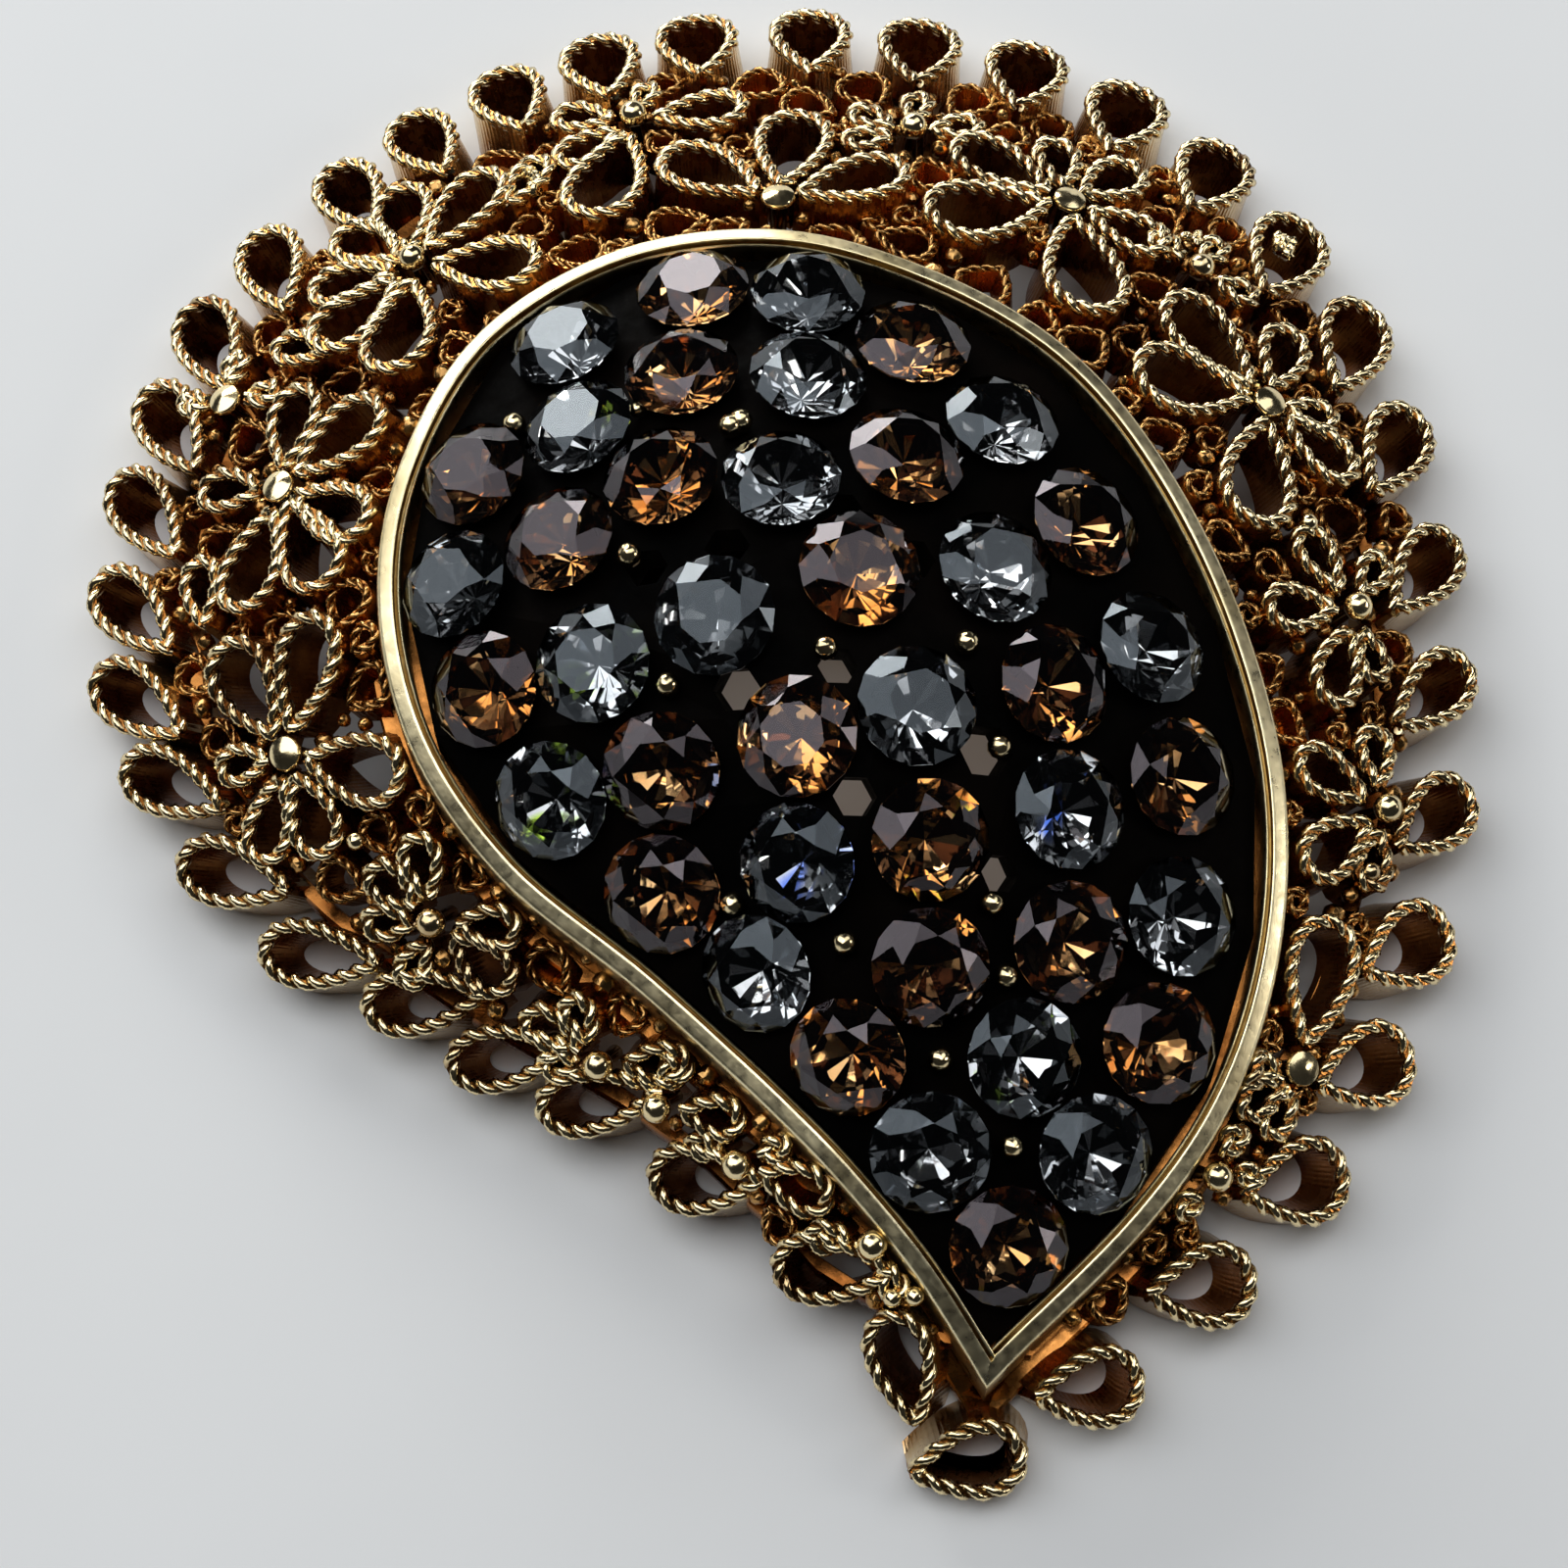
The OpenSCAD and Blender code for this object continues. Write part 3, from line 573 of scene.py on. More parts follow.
def rope(build, centre, up, radius, pitch, phase=0.0, sides=ROPE_SIDES):
    """Two strands twisted round a curve: centre (n, 3), up (3,)."""
    t = along(centre)
    up = np.broadcast_to(up, centre.shape)
    side = np.cross(up, t)
    side /= np.linalg.norm(side, axis=1)[:, None]
    top = np.cross(t, side)
    s = np.r_[0, np.cumsum(np.linalg.norm(np.diff(centre, axis=0), axis=1))]
    b = FULL_TURN * np.arange(sides) / sides
    # Painted shade, dark in the groove where the two strands meet
    groove = np.clip(GROOVE_SHADE - GROOVE_SWING * np.cos(b), 0, 1)[None, :]
    for strand in (0, 1):
        phi = FULL_TURN * s / pitch + phase + strand * math.pi
        lean = np.cos(phi)[:, None] * side + np.sin(phi)[:, None] * top
        c = centre + STRAND_REACH * radius * lean
        tangent = along(c)
        away = lean - (lean * tangent).sum(1)[:, None] * tangent
        away /= np.linalg.norm(away, axis=1)[:, None]
        over = np.cross(tangent, away)
        ring = (np.cos(b)[None, :, None] * away[:, None]
                + np.sin(b)[None, :, None] * over[:, None])
        rings = c[:, None] + STRAND_R * radius * ring
        # More painted shade on the underside of the wire
        below = np.clip(-((rings - centre[:, None]) * up[:, None]).sum(2) / radius, 0, 1)
        age = np.clip(groove + UNDERSIDE_SHADE * below, 0, 1)
        build.grid(rings, age=age, run=s[:, None], caps=True)


def wall(build, centre, out, rise, depth, s, outer=0):
    """The strip below a wire: centre (n, 3) is its upper edge's line, and it goes down along
    -rise. Its face towards the outside has the material with the index outer, which on the rim's
    loops is a lighter copy of the gold: painted light on the outer faces."""
    side = np.cross(np.broadcast_to(out, centre.shape), along(centre))
    side /= np.linalg.norm(side, axis=1)[:, None]
    levels = np.array([WALL_TOP, *(share * depth for share in WALL_DEPTHS)])
    half = WALL_T / 2 + np.array(WALL_FLARE)
    section = list(zip(half, levels)) + list(zip(-half[::-1], levels[::-1]))
    rings = np.stack([centre + w * side - z * rise for w, z in section], 1)
    # Painted shade, darker down the strip
    age = WALL_SHADE + WALL_SHADE_BELOW * np.array([z / depth for _, z in section])
    outer_faces = len(levels) - 1
    mats = [outer] * outer_faces + [0] * (len(section) - outer_faces)
    build.grid(kept_out(rings.reshape(-1, 3), WALL_GAP).reshape(rings.shape), age=age,
               run=s[:, None], caps=True, mats=mats)


def bent_strip(ropes, walls, plan, fr, depth, radius=ROPE_R, pitch=ROPE_PITCH, rise=None,
               outer=0):
    """A strip bent to a closed plan, standing on edge, with a wire on its upper edge.
    Gives back the strip's line in plan."""
    out = fr[3]
    pts = placed(fr, np.c_[plan, np.zeros(len(plan))])
    pts = kept_out(pts, radius + ROPE_GAP)
    radius *= rng.uniform(*RADIUS_SCATTER)
    phase = rng.uniform(*PHASES)
    pitch *= rng.uniform(*PITCH_SCATTER)
    line, _ = even(pts, ROPE_STEP)
    rope(ropes, line - (radius + ROPE_SINK) * out, out, radius, pitch, phase)
    line, s = even(pts, WALL_STEP)
    wall(walls, line, out, out if rise is None else rise, depth, s, outer)
    return line[:-1, :2]


def filigree_drop(ropes, walls, fr, start, end, width, depth, rise=None, outer=0):
    """A petal or loop inside the strip of the solid; gives back its line in plan."""
    plan = drop(start + ROOT_SHIFT * STRIP_T, end - STRIP_T / 2, width - STRIP_T)
    plan[:, 1] *= min(1 + WIDTH_SCATTER * rng.standard_normal(), WIDEST)
    return bent_strip(ropes, walls, plan, fr, depth, rise=rise, outer=outer)


# Shader nodes; each range is (low, high)


def shader(name):
    """A new material, its node tree and its main shader."""
    m = bpy.data.materials.new(name)
    m.use_nodes = True
    nt = m.node_tree
    return m, nt, nt.nodes["Principled BSDF"]


def object_coords(nt):
    """Coordinates in the piece's own frame, in metres."""
    return nt.nodes.new("ShaderNodeTexCoord").outputs["Object"]


def attribute(nt, name):
    """A value that the mesh holds for each point."""
    n = nt.nodes.new("ShaderNodeAttribute")
    n.attribute_name = name
    return n.outputs["Fac"]


def noise(nt, coords, scale, detail, rough):
    """A soft noise from 0 to 1."""
    n = nt.nodes.new("ShaderNodeTexNoise")
    n.inputs["Scale"].default_value = scale
    n.inputs["Detail"].default_value = detail
    n.inputs["Roughness"].default_value = rough
    nt.links.new(coords, n.inputs["Vector"])
    return n.outputs["Fac"]


def span(nt, value, source, target=(0, 1)):
    """The value's share of the source range, taken to the target range."""
    n = nt.nodes.new("ShaderNodeMapRange")
    nt.links.new(value, n.inputs["Value"])
    for key, v in zip(("From Min", "From Max", "To Min", "To Max"), (*source, *target)):
        n.inputs[key].default_value = v
    return n.outputs["Result"]


def calc(nt, op, *values, clamp=True):
    """One sum of numbers and sockets, kept from 0 to 1 if clamped."""
    n = nt.nodes.new("ShaderNodeMath")
    n.operation = op
    for i, v in enumerate(values):
        if isinstance(v, (int, float)):
            n.inputs[i].default_value = v
        else:
            nt.links.new(v, n.inputs[i])
    n.use_clamp = clamp
    return n.outputs[0]


def blend_colour(nt, fac, a, b):
    """From a to b as fac goes from 0 to 1; each is a colour or a socket."""
    n = nt.nodes.new("ShaderNodeMix")
    n.data_type = "RGBA"
    nt.links.new(fac, n.inputs["Factor"])
    for key, v in (("A", a), ("B", b)):
        sock = [i for i in n.inputs if i.name == key and i.type == "RGBA"][0]
        if isinstance(v, tuple):
            sock.default_value = (*v, 1.0)
        else:
            nt.links.new(v, sock)
    return [o for o in n.outputs if o.type == "RGBA"][0]


def bump(nt, bsdf, heights, strength, distance):
    """Adds up the heights, each (socket, weight), and bumps the shader with them."""
    total = None
    for sock, weight in heights:
        part = calc(nt, "MULTIPLY", sock, weight)
        total = part if total is None else calc(nt, "ADD", total, part)
    b = nt.nodes.new("ShaderNodeBump")
    b.inputs["Strength"].default_value = strength
    b.inputs["Distance"].default_value = distance
    nt.links.new(total, b.inputs["Height"])
    nt.links.new(b.outputs["Normal"], bsdf.inputs["Normal"])


# Materials


def gold(name, bright, deep, tarnish, rough, streaks=0.0):
    """Gilt metal: deep where the mesh's painted shade, raised and lowered by random wear, is
    high;
    the painted shade lies in grooves, under parts and down strips. It has a patchy tarnish, and
    fine streaks down a strip, as many as given for each 2 pi mm of its length."""
    m, nt, bsdf = shader(name)
    co = object_coords(nt)
    patch = noise(nt, co, scale=320, detail=4, rough=0.6)
    fine = noise(nt, co, scale=2400, detail=3, rough=0.6)
    # Painted shade from the mesh, with random wear from the patches added
    shade_and_wear = calc(nt, "ADD", attribute(nt, "age"), span(nt, patch, (0.35, 0.75), (-0.25, 0.3)))
    base = blend_colour(nt, shade_and_wear, bright, deep)
    base = blend_colour(nt, span(nt, patch, (0.56, 0.72), (0, 0.55)), base, tarnish)
    nt.links.new(base, bsdf.inputs["Base Color"])
    bsdf.inputs["Metallic"].default_value = 1.0
    nt.links.new(span(nt, fine, (0.3, 0.7), rough), bsdf.inputs["Roughness"])
    heights = [(fine, 0.5), (patch, 0.8)]
    if streaks:
        scaled = calc(nt, "MULTIPLY", attribute(nt, "run"), streaks, clamp=False)
        wave = calc(nt, "SINE", scaled, clamp=False)
        heights.append((span(nt, wave, (-1, 1)), 0.5))
    bump(nt, bsdf, heights, strength=0.35, distance=0.00006)
    return m


def foil(name, bright, dark, sparks=()):
    """The mirror foil on the back of a stone, seen through its glass, with painted sparks: small
    coloured patches that stand for the stone's fire. Each spark is the scale of its noise and its
    colour."""
    m, nt, bsdf = shader(name)
    co = object_coords(nt)
    patch = noise(nt, co, scale=500, detail=3, rough=0.6)
    base = blend_colour(nt, span(nt, patch, (0.35, 0.65)), bright, dark)
    for scale, colour in sparks:
        spark = noise(nt, co, scale, detail=1, rough=0.5)
        # A painted glint of colour
        base = blend_colour(nt, span(nt, spark, (0.69, 0.72)), base, colour)
    nt.links.new(base, bsdf.inputs["Base Color"])
    bsdf.inputs["Metallic"].default_value = 1.0
    nt.links.new(span(nt, patch, (0.3, 0.7), (0.03, 0.1)), bsdf.inputs["Roughness"])
    return m


def glass(name, tint, sheen):
    """Cut glass with fine wear on its faces."""
    m, nt, bsdf = shader(name)
    haze = noise(nt, object_coords(nt), scale=900, detail=3, rough=0.6)
    darker = tuple(0.8 * c for c in tint)
    nt.links.new(blend_colour(nt, span(nt, haze, (0.4, 0.7)), tint, darker),
                 bsdf.inputs["Base Color"])
    bsdf.inputs["Transmission Weight"].default_value = 1.0
    bsdf.inputs["IOR"].default_value = 1.62
    bsdf.inputs["Specular Tint"].default_value = (*sheen, 1.0)
    nt.links.new(span(nt, haze, (0.4, 0.75), (0.0, 0.05)), bsdf.inputs["Roughness"])
    return m


def black(name, deep, light):
    """The plate's matt blackened metal, with hardly any sheen."""
    m, nt, bsdf = shader(name)
    co = object_coords(nt)
    fine = noise(nt, co, scale=1500, detail=4, rough=0.6)
    coarse = noise(nt, co, scale=260, detail=3, rough=0.5)
    nt.links.new(blend_colour(nt, span(nt, coarse, (0.4, 0.7)), deep, light),
                 bsdf.inputs["Base Color"])
    nt.links.new(span(nt, fine, (0.3, 0.7), (0.4, 0.65)), bsdf.inputs["Roughness"])
    bsdf.inputs["IOR"].default_value = 1.06
    bump(nt, bsdf, [(fine, 0.7), (coarse, 0.5)], strength=0.4, distance=0.0001)
    return m


def pale_matt(name, tones, rough):
    """The plain floor, with faint clouds in its tone."""
    m, nt, bsdf = shader(name)
    cloud = noise(nt, object_coords(nt), scale=60, detail=3, rough=0.5)
    nt.links.new(blend_colour(nt, cloud, *tones), bsdf.inputs["Base Color"])
    bsdf.inputs["Roughness"].default_value = rough
    return m


# GOLD and GOLD_PALE take their dark parts from the mesh's painted shade
GOLD = gold("gold_painted_shade_and_tarnish", bright=(0.93, 0.76, 0.44), deep=(0.1, 0.035, 0.008),
            tarnish=(0.3, 0.13, 0.035), rough=(0.08, 0.22))
# A dimmer copy of the gold for the small curls and grains sunk between the petals: painted shade
GOLD_DEEP = gold("dim_gold_painted_shade", bright=(0.52, 0.29, 0.1), deep=(0.1, 0.03, 0.006),
                 tarnish=(0.12, 0.045, 0.01), rough=(0.14, 0.32))
# A darker copy of the gold for the strips and the back: painted shade
GOLD_WALL = gold("strip_gold_painted_shade", bright=(0.62, 0.27, 0.07), deep=(0.12, 0.028, 0.004),
                 tarnish=(0.06, 0.015, 0.003), rough=(0.16, 0.36), streaks=31.0)
# A lighter copy of the gold for the outer faces of the rim's strips: painted light
GOLD_OUTER = gold("outer_strip_gold_painted_light", bright=(0.9, 0.74, 0.46), deep=(0.34, 0.16, 0.05),
                  tarnish=(0.3, 0.14, 0.045), rough=(0.14, 0.3), streaks=31.0)
GOLD_PALE = gold("pale_gold", bright=(1.0, 0.88, 0.56), deep=(0.3, 0.18, 0.05),
                 tarnish=(0.72, 0.6, 0.32), rough=(0.24, 0.42))
GOLD_PIN = gold("pin_gold", bright=(0.8, 0.64, 0.34), deep=(0.5, 0.36, 0.15),
                tarnish=(0.4, 0.28, 0.12), rough=(0.25, 0.45))
BLACK = black("black_plate", deep=(0.001, 0.0009, 0.0008), light=(0.003, 0.002, 0.0015))
GLASS = {"smoke": glass("smoke_glass", tint=(0.78, 0.8, 0.82), sheen=(0.74, 0.84, 0.94)),
         "topaz": glass("topaz_glass", tint=(0.9, 0.75, 0.6), sheen=(0.84, 0.74, 0.81))}
# Painted sparks of fire: blue and green glints in the foil's colour
SPARKS = ((210, (0.1, 0.25, 1.0)), (260, (0.55, 0.8, 0.1)))
FOIL = {"smoke": foil("smoke_foil", bright=(0.97, 0.98, 1.0), dark=(0.7, 0.72, 0.74),
                      sparks=SPARKS),
        "topaz": foil("topaz_foil", bright=(1.0, 0.74, 0.44), dark=(0.85, 0.5, 0.22),
                      sparks=SPARKS)}
# Dark foil for the fan facets that show no flash: painted shade beside the painted flashes
FOIL_UNLIT = {"smoke": foil("smoke_foil_painted_unlit", bright=(0.03, 0.033, 0.035),
                          dark=(0.01, 0.011, 0.012)),
            "topaz": foil("topaz_foil_painted_unlit", bright=(0.05, 0.017, 0.007),
                          dark=(0.012, 0.005, 0.003))}

# The filigree's loops and petals


def rim_loop(ropes, walls, tip, heading, length, width, level=0.0):
    """A loop of the rim; level is the share of the way from the dome's normal to the
    direction that keeps the strip's side level."""
    h = math.radians(heading)
    middle = np.array(tip) - PLAN_SHARE * length / 2 * np.array([math.cos(h), math.sin(h)])
    fr = stand(middle[0], middle[1], heading)
    upright = unit(np.cross(fr[1], [-math.sin(h), math.cos(h), 0.0]))
    rise = unit((1 - level) * fr[3] + level * upright)
    # outer=1 gives the strip's outer face the lighter gold: painted light
    return filigree_drop(ropes, walls, fr, -length / 2, length / 2, width,
                         STRIP_H + RIM_EXTRA, rise, outer=1)


def rim_loops(ropes, walls):
    """All the loops round the rim and at the tip; gives back their lines in plan."""
    plans = []
    for first, last, count in RIM_RUNS:
        for k in range(count):
            a = first + (last - first) * k / (count - 1)
            turn, share, long, wide, level = [np.interp(a, RIM_TURNS[:, 0], column)
                                              for column in RIM_TURNS[:, 1:].T]
            r = share * rim_raw(a)
            tip = (r * math.cos(math.radians(a)), r * math.sin(math.radians(a)))
            plans.append(rim_loop(ropes, walls, tip, a + turn, LOOP_LEN * long,
                                  LOOP_W * wide, level))
    for x, y, heading, length, width in TIP_LOOPS:
        plans.append(rim_loop(ropes, walls, (x, y), heading, length, width))
    return plans


def petals(ropes, walls):
    """All the petals on the slope; gives back their lines in plan."""
    plans = []
    for x, y, _, rows in ROSETTES:
        o, a, s, u = stand(x, y)
        for heading, reach in rows:
            h = math.radians(heading)
            fr = (o, math.cos(h) * a + math.sin(h) * s, -math.sin(h) * a + math.cos(h) * s, u)
            plans.append(filigree_drop(ropes, walls, fr, BOSS_GAP, reach,
                                       PETAL_ASPECT * reach, STRIP_H))
    for x, y, heading, length in LONE_PETALS:
        plans.append(filigree_drop(ropes, walls, stand(x, y, heading), 0, length,
                                   PETAL_ASPECT * length, STRIP_H))
    return plans


# Discs, balls and melted grains


def lathe(build, fr, profile, ages):
    """A turned form: profile is [radius, height] along the frame's out axis."""
    n = LATHE_SIDES
    b = FULL_TURN * np.arange(n) / n
    rings = np.stack([placed(fr, np.c_[r * np.cos(b), r * np.sin(b), np.full(n, z)])
                      for r, z in profile])
    build.grid(rings, age=np.array(ages)[:, None], caps=True)


def disc(build, fr):
    """The slightly domed disc in a rosette's middle."""
    profile = [[share * BOSS_D / 2, z] for share, z, _ in DISC_PROFILE]
    # Painted shade, darkest at the foot
    lathe(build, fr, profile, [age for _, _, age in DISC_PROFILE])


def ball(build, fr):
    """The ball on its foot in a rosette's middle."""
    r = BOSS_D / 2
    turns = np.linspace(*BALL_ARC, len(BALL_SHADES) - 1)
    profile = [[BALL_FOOT[0] * r, BALL_FOOT[1]]]
    profile += [[BALL_SHARE * r * math.cos(a), BALL_LIFT + BALL_SHARE * r * math.sin(a)]
                for a in turns]
    # Painted shade, darkest at the foot
    lathe(build, fr, profile, BALL_SHADES)


def grain(build, x, y, radius, height, roughness=0.0):
    """A bead of melted metal on the dome."""
    o, ahead, side, out = stand(x, y, rng.uniform(0, 360))
    n, m = GRAIN_ROWS, GRAIN_SIDES
    lat = np.linspace(-0.5, 0.5, n) * math.pi * GRAIN_POLE
    lon = FULL_TURN * np.arange(m) / m
    flat = np.stack([np.cos(lat)[:, None] * np.cos(lon), np.cos(lat)[:, None] * np.sin(lon),
                     np.sin(lat)[:, None] * np.ones(m)], -1) * radius
    if roughness:
        flat *= (1 + roughness * rng.standard_normal((n, m)))[..., None]
    pts = placed((o + height * out, ahead, side, out), flat.reshape(-1, 3))
    # Painted shade, darkest on the underside
    build.grid(pts.reshape(n, m, 3), age=np.linspace(GRAIN_SHADE, 0, n)[:, None], caps=True)


def bosses_and_solder(build):
    """The rosettes' middles, the lone grains and the lumps of solder."""
    for x, y, boss, _ in ROSETTES:
        if boss == "disc":
            disc(build, stand(x, y))
        else:
            ball(build, stand(x, y))
    for x, y in GRAINS:
        grain(build, x, y, GRAIN_R, GRAIN_HEIGHT)
    for x, y, radius in LUMPS:
        for _ in range(LUMP_GRAINS):
            dx, dy = rng.normal(0, LUMP_SPREAD * radius, 2)
            grain(build, x + dx, y + dy, rng.uniform(*LUMP_GRAIN_SHARE) * radius,
                  LUMP_HEIGHT, LUMP_ROUGHNESS)


# Small curls and grains that fill the slope between the petals


def free_spots(plans, middles):
    """Random spots that nothing covers yet, and the room round each of them."""
    polar = rng.uniform(0, 360, SPOTS)
    reach = np.array([rim_at(a) for a in polar]) - SPOT_MARGIN
    radius = reach * np.sqrt(rng.uniform(SPOT_LEAST_AREA, 1, SPOTS))
    angle = np.radians(polar)
    spots = np.stack([radius * np.cos(angle), radius * np.sin(angle)], 1)
    spots = spots[~within(spots, EDGE)]
    spots = spots[spread(spots, OPEN_GAPS) > OPEN_RADIUS]
    for loop in plans:
        spots = spots[~within(spots, loop)]
    room = np.minimum(spread(spots, np.concatenate(plans)), spread(spots, EDGE) - EDGE_ROOM)
    return spots, np.minimum(room, spread(spots, middles) - BOSS_ROOM)


def curl(ropes, walls, spot, away, size):
    """A small curl at a spot, pointing away from the nearest rosette's middle."""
    fr = stand(spot[0], spot[1], math.degrees(math.atan2(away[1], away[0])))
    fr = (fr[0] - rng.uniform(*CURL_SINK) * fr[3], *fr[1:])
    plan = drop(-size, size, rng.uniform(*CURL_WIDTH) * size)
    bent_strip(ropes, walls, plan, fr, rng.uniform(*CURL_DEPTH), CURL_R, CURL_PITCH)


def fill(ropes, walls, grains, plans):
    """Fills the widest free spot again and again, with a curl or else with a grain."""
    middles = np.array([[x, y] for x, y, _, _ in ROSETTES])
    spots, room = free_spots(plans, middles)
    while len(room) and room.max() > LEAST_ROOM:
        k = room.argmax()
        if room[k] > CURL_LEAST_ROOM:
            size = min(room[k] - CURL_MARGIN, CURL_MOST)
            nearest = middles[((middles - spots[k]) ** 2).sum(1).argmin()]
            curl(ropes, walls, spots[k], spots[k] - nearest, size)
        else:
            size = FILL_GRAIN_ROOM * room[k]
            grain(grains, *spots[k], FILL_GRAIN_SHARE * size,
                  -rng.uniform(*FILL_GRAIN_SINK), FILL_GRAIN_ROUGHNESS)
        left = np.sqrt(((spots - spots[k]) ** 2).sum(1)) - size
        room = np.minimum(room, left - NEXT_ROOM)
        keep = room > LEAST_ROOM
        spots, room = spots[keep], room[keep]


# The rib, ledge and tie on the back


def rib_ring(shift, height):
    """The rib's line, moved outwards by shift and up by height."""
    pts = []
    for a in range(0, 360, RIB_STEP):
        out = np.array([math.cos(math.radians(a)), math.sin(math.radians(a))])
        p = RIB_SHARE * rim_at(a) * out
        pts.append([*(p + shift * out), dome(p[0], p[1]) - RIB_DROP + height])
    return np.array(pts)


def rib(build):
    """The rib that runs round the back under the rosettes."""
    rings = np.stack([rib_ring(w * RIB_W / 2, h * RIB_H) for w, h in RIB_SECTION], 1)
    rings = kept_out(rings.reshape(-1, 3), RIB_GAP).reshape(rings.shape)
    # Painted shade all over the rib
    build.grid(rings, run_closed=True, age=RIB_SHADE)


def ledge(build):
    """The ledge under the cup, with a bevel on its outer edges."""
    bevel = LEDGE_BEVEL
    section = [(LEDGE_IN, 0), (-LEDGE_OUT + bevel, 0), (-LEDGE_OUT, bevel),
               (-LEDGE_OUT, LEDGE_H - bevel), (-LEDGE_OUT + bevel, LEDGE_H),
               (LEDGE_IN, LEDGE_H)]
    rings = np.stack([band_ring(d, -LEDGE_DROP - h) for d, h in section], 1)
    # Painted shade all over the ledge
    build.grid(rings, run_closed=True, age=LEDGE_SHADE)


def tie(build):
    """The twisted wire from the top rosette to the ledge."""
    ends = np.array([[x, y, dome(x, y) - depth] for x, y, depth in TIE_ENDS])
    line, _ = even(ends, TIE_STEP, closed=False)
    rope(build, line, np.array([0.0, 0.0, 1.0]), TIE_R, TIE_PITCH, sides=TIE_SIDES)


# The cup


def band(build):
    """The polished band with its two ridges."""
    rings = np.stack([band_ring(d, height) for d, height, _ in BAND_SECTION], 1)
    # The section's painted shade: darkest in the groove and down the walls
    build.grid(rings, run_closed=True, age=[age for _, _, age in BAND_SECTION])


# The stones and the beads between them


def stone_ring(radius, z, turn, n):
    """A level ring of n points, turned by an angle in degrees."""
    b = math.radians(turn) + FULL_TURN * np.arange(n) / n
    return np.c_[radius * np.cos(b), radius * np.sin(b), np.full(n, z)]


def stone_points(size):
    """Rings from the table down: table 8, star 8, girdle 16 and 16, fan 16, and the point."""
    r = STONE_D / 2 * size
    table = TABLE_SHARE * r * TABLE_TRIM
    star = STAR_SHARE * r
    top = CROWN_SHARE * CROWN_H
    g = GIRDLE_HALF
    star_z = g + (top - g) * (r - star * math.cos(math.radians(HALF_FACET))) / (r - table)
    fan = stone_ring(FAN_SHARE * r, -FAN_DEPTH * PAVILION_H, 0, 16)
    fan[:, 2] -= rng.uniform(0, FAN_SCATTER, 16)
    return np.vstack([stone_ring(table, top, 0, 8), stone_ring(star, star_z, HALF_FACET, 8),
                      stone_ring(r, g, 0, 16), stone_ring(r, -g, 0, 16), fan,
                      [[0, 0, -PAVILION_H]]])


def cut_stone(build, fr, size):
    """A round brilliant with a fan of facets below, with painted flashes: some facets have bright
    foil and the rest dark foil, more of them bright on the side facing the tip.
    """
    points = stone_points(size)
    # The first point of each ring
    table, star, girdle, foot, fan, point = 0, 8, 16, 32, 48, 64
    faces = [list(range(table, table + 8))]
    for k in range(8):
        n = (k + 1) % 8
        near = girdle + 2 * k
        faces.append([table + k, star + k, table + n])
        faces.append([table + k, star + (k - 1) % 8, near, star + k])
        faces.append([star + k, near, near + 1])
        faces.append([star + k, near + 1, girdle + 2 * n])
    for j in range(16):
        n = (j + 1) % 16
        faces.append([girdle + j, foot + j, foot + n, girdle + n])
    mats = [0] * len(faces)
    # Painted flashes: bright foil on facets chosen at random, more often on those facing the tip
    for j in range(16):
        n = (j + 1) % 16
        d = math.radians(HALF_FACET * (j + 0.5))
        south = -(math.cos(d) * fr[1] + math.sin(d) * fr[2])[1]
        least, more = BRIGHT_CHANCE[j % 2]
        chance = least + more * max(0.0, south)
        faces += [[point, fan + n, fan + j], [fan + j, foot + n, foot + j],
                  [fan + j, fan + n, foot + n]]
        inside, outside = rng.uniform(0, 1, 2)
        mats.append(1 if inside < chance else 2)
        mats += [1 if outside < OUTER_CHANCE * chance else 2] * 2
    build.add(placed(fr, points), faces, mats=mats)


def stones():
    """All the stones, each a piece of its own, a little tilted and as large as they may be."""
    middles = np.array([stand(x, y)[0] for (x, y), _ in STONES])
    for i, ((x, y), kind) in enumerate(STONES):
        o, ahead, side, out = stand(x, y, STONE_TURN * i)
        tilt = rng.normal(0, STONE_TILT, 2)
        out = unit(out + tilt[0] * ahead + tilt[1] * side)
        ahead = unit(ahead - (ahead @ out) * out)
        near = np.sort(np.linalg.norm(middles - o, axis=1))[1]
        size = min(STONE_MOST, max(1.0, (near - STONE_GAP) / STONE_D))
        build = Build()
        cut_stone(build, (o, ahead, np.cross(out, ahead), out), size)
        mine = KINDS[kind]
        name = "stone_%s_%02d" % (mine, i + 1)
        build.piece(name + "_cut", [GLASS[mine], FOIL[mine], FOIL_UNLIT[mine]],
                    mine + "_stone", [name])


def beads(build):
    """Gold beads in the gaps between the stones, where a random search finds room."""
    centres = np.array([place for place, _ in STONES])
    for spot in BEADS:
        tries = spot + rng.uniform(-BEAD_SEARCH, BEAD_SEARCH, (BEAD_TRIES, 2))
        free = spread(tries, centres)
        best = tries[(free - BEAD_PULL * np.linalg.norm(tries - spot, axis=1)).argmax()]
        size = min(BEAD_MOST, free.max() - STONE_D / 2)
        grain(build, best[0], best[1], max(size, BEAD_LEAST), BEAD_HEIGHT)


# The stage


def stage_floor():
    """The plain pale floor under the brooch."""
    floor_mesh = bpy.data.meshes.new("floor")
    w = FLOOR_HALF
    corners = [(-w, -w, 0), (w, -w, 0), (w, w, 0), (-w, w, 0)]
    floor_mesh.from_pydata(corners, [], [(0, 1, 2, 3)])
    floor_mesh.materials.append(pale_matt("pale_floor", FLOOR_TONES, FLOOR_ROUGHNESS))
    floor = bpy.data.objects.new("floor", floor_mesh)
    bpy.context.scene.collection.objects.link(floor)


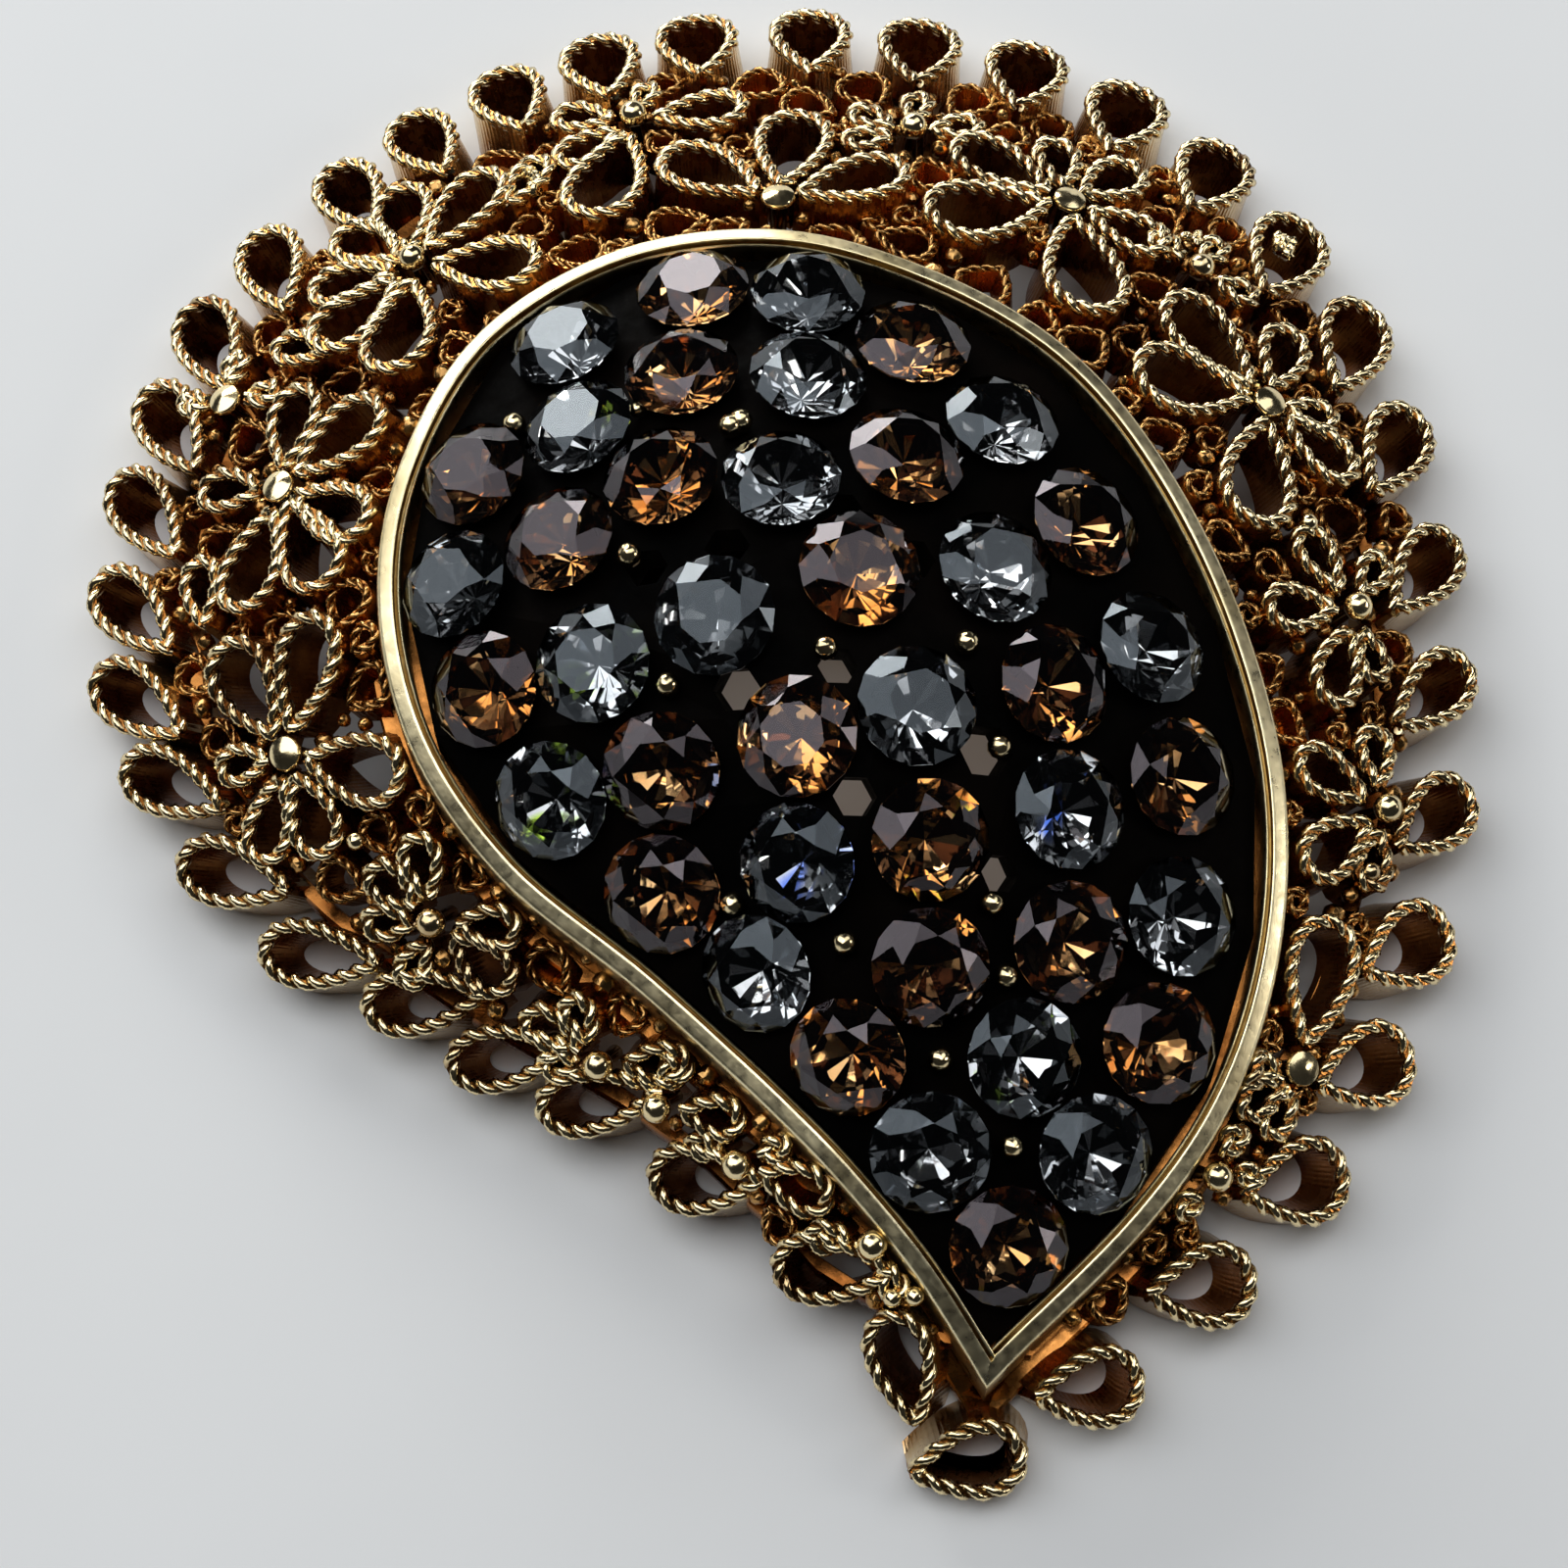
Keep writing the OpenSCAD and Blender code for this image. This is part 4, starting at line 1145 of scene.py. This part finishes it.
def softbox(name, place, target, size, power, colour):
    """An oblong light at a place, turned to its target; lengths are in metres."""
    light = bpy.data.lights.new(name, "AREA")
    light.shape = "RECTANGLE"
    light.size, light.size_y = size
    light.energy = power
    light.color = colour
    obj = bpy.data.objects.new(name, light)
    bpy.context.scene.collection.objects.link(obj)
    obj.location = place
    obj.rotation_mode = "QUATERNION"
    obj.rotation_quaternion = (Vector(target) - Vector(place)).to_track_quat("-Z", "Y")


def dark_world():
    """Hardly any light from all round, and colours shown as they are."""
    world = bpy.data.worlds.new("studio")
    bpy.context.scene.world = world
    world.use_nodes = True
    background = world.node_tree.nodes["Background"]
    background.inputs["Color"].default_value = WORLD_COLOUR
    background.inputs["Strength"].default_value = WORLD_STRENGTH
    bpy.context.scene.view_settings.view_transform = "Standard"


def photo_camera():
    """The camera in the photo's place."""
    cam = bpy.data.cameras.new("camera")
    cam.sensor_fit = "HORIZONTAL"
    cam.sensor_width = SENSOR_W
    cam.lens = SENSOR_W * FOCAL_PIXELS / PHOTO_PIXELS
    cam.clip_start, cam.clip_end = CAMERA_RANGE
    camera = bpy.data.objects.new("camera", cam)
    bpy.context.scene.collection.objects.link(camera)
    tilt = math.radians(CAMERA_TILT)
    aim = (CAMERA_AIM - PLAN_MIDDLE) * MM
    camera.location = aim - CAMERA_DISTANCE * np.array([0.0, math.sin(tilt), -math.cos(tilt)])
    camera.rotation_euler = (tilt, 0, 0)
    bpy.context.scene.camera = camera


# The whole brooch

ropes_rim, ropes_rosette, ropes_fill, walls = Build(), Build(), Build(), Build()
bosses, grains = Build(), Build()
plans = rim_loops(ropes_rim, walls)
plans += petals(ropes_rosette, walls)
bosses_and_solder(bosses)
fill(ropes_fill, walls, grains, plans)
back = Build()
rib(back)
ledge(back)
tie(back)
ropes_rim.piece("rim_loop_ropes", [GOLD], "filigree_gold", sharp=60)
ropes_rosette.piece("rosette_ropes", [GOLD], "filigree_gold", sharp=60)
ropes_fill.piece("small_curls", [GOLD_DEEP], "filigree_gold", sharp=60)
grains.piece("solder_grains", [GOLD_DEEP], "filigree_gold", sharp=35)
# The strips: painted shade inside, painted light on the rim's outer faces
walls.piece("filigree_strips", [GOLD_WALL, GOLD_OUTER], "filigree_gold", ["filigree_frame"],
            sharp=40)
bosses.piece("discs_and_balls", [GOLD], "filigree_gold", sharp=35)
back.piece("back_rib_and_ledge", [GOLD_WALL], "filigree_gold", sharp=35)

cup = Build()
band(cup)
cup.piece("polished_band", [GOLD_PALE], "band_gold", ["bezel_band"], sharp=50)
for name, material in (("stone_plate", BLACK), ("pin_clasp", GOLD_PIN)):
    for part_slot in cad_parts[name].material_slots:
        part_slot.material = material

stones()
gold_beads = Build()
beads(gold_beads)
gold_beads.piece("gold_beads", [GOLD], "filigree_gold", sharp=35)

stage_floor()
for row in LIGHTS:
    softbox(*row)
dark_world()
photo_camera()
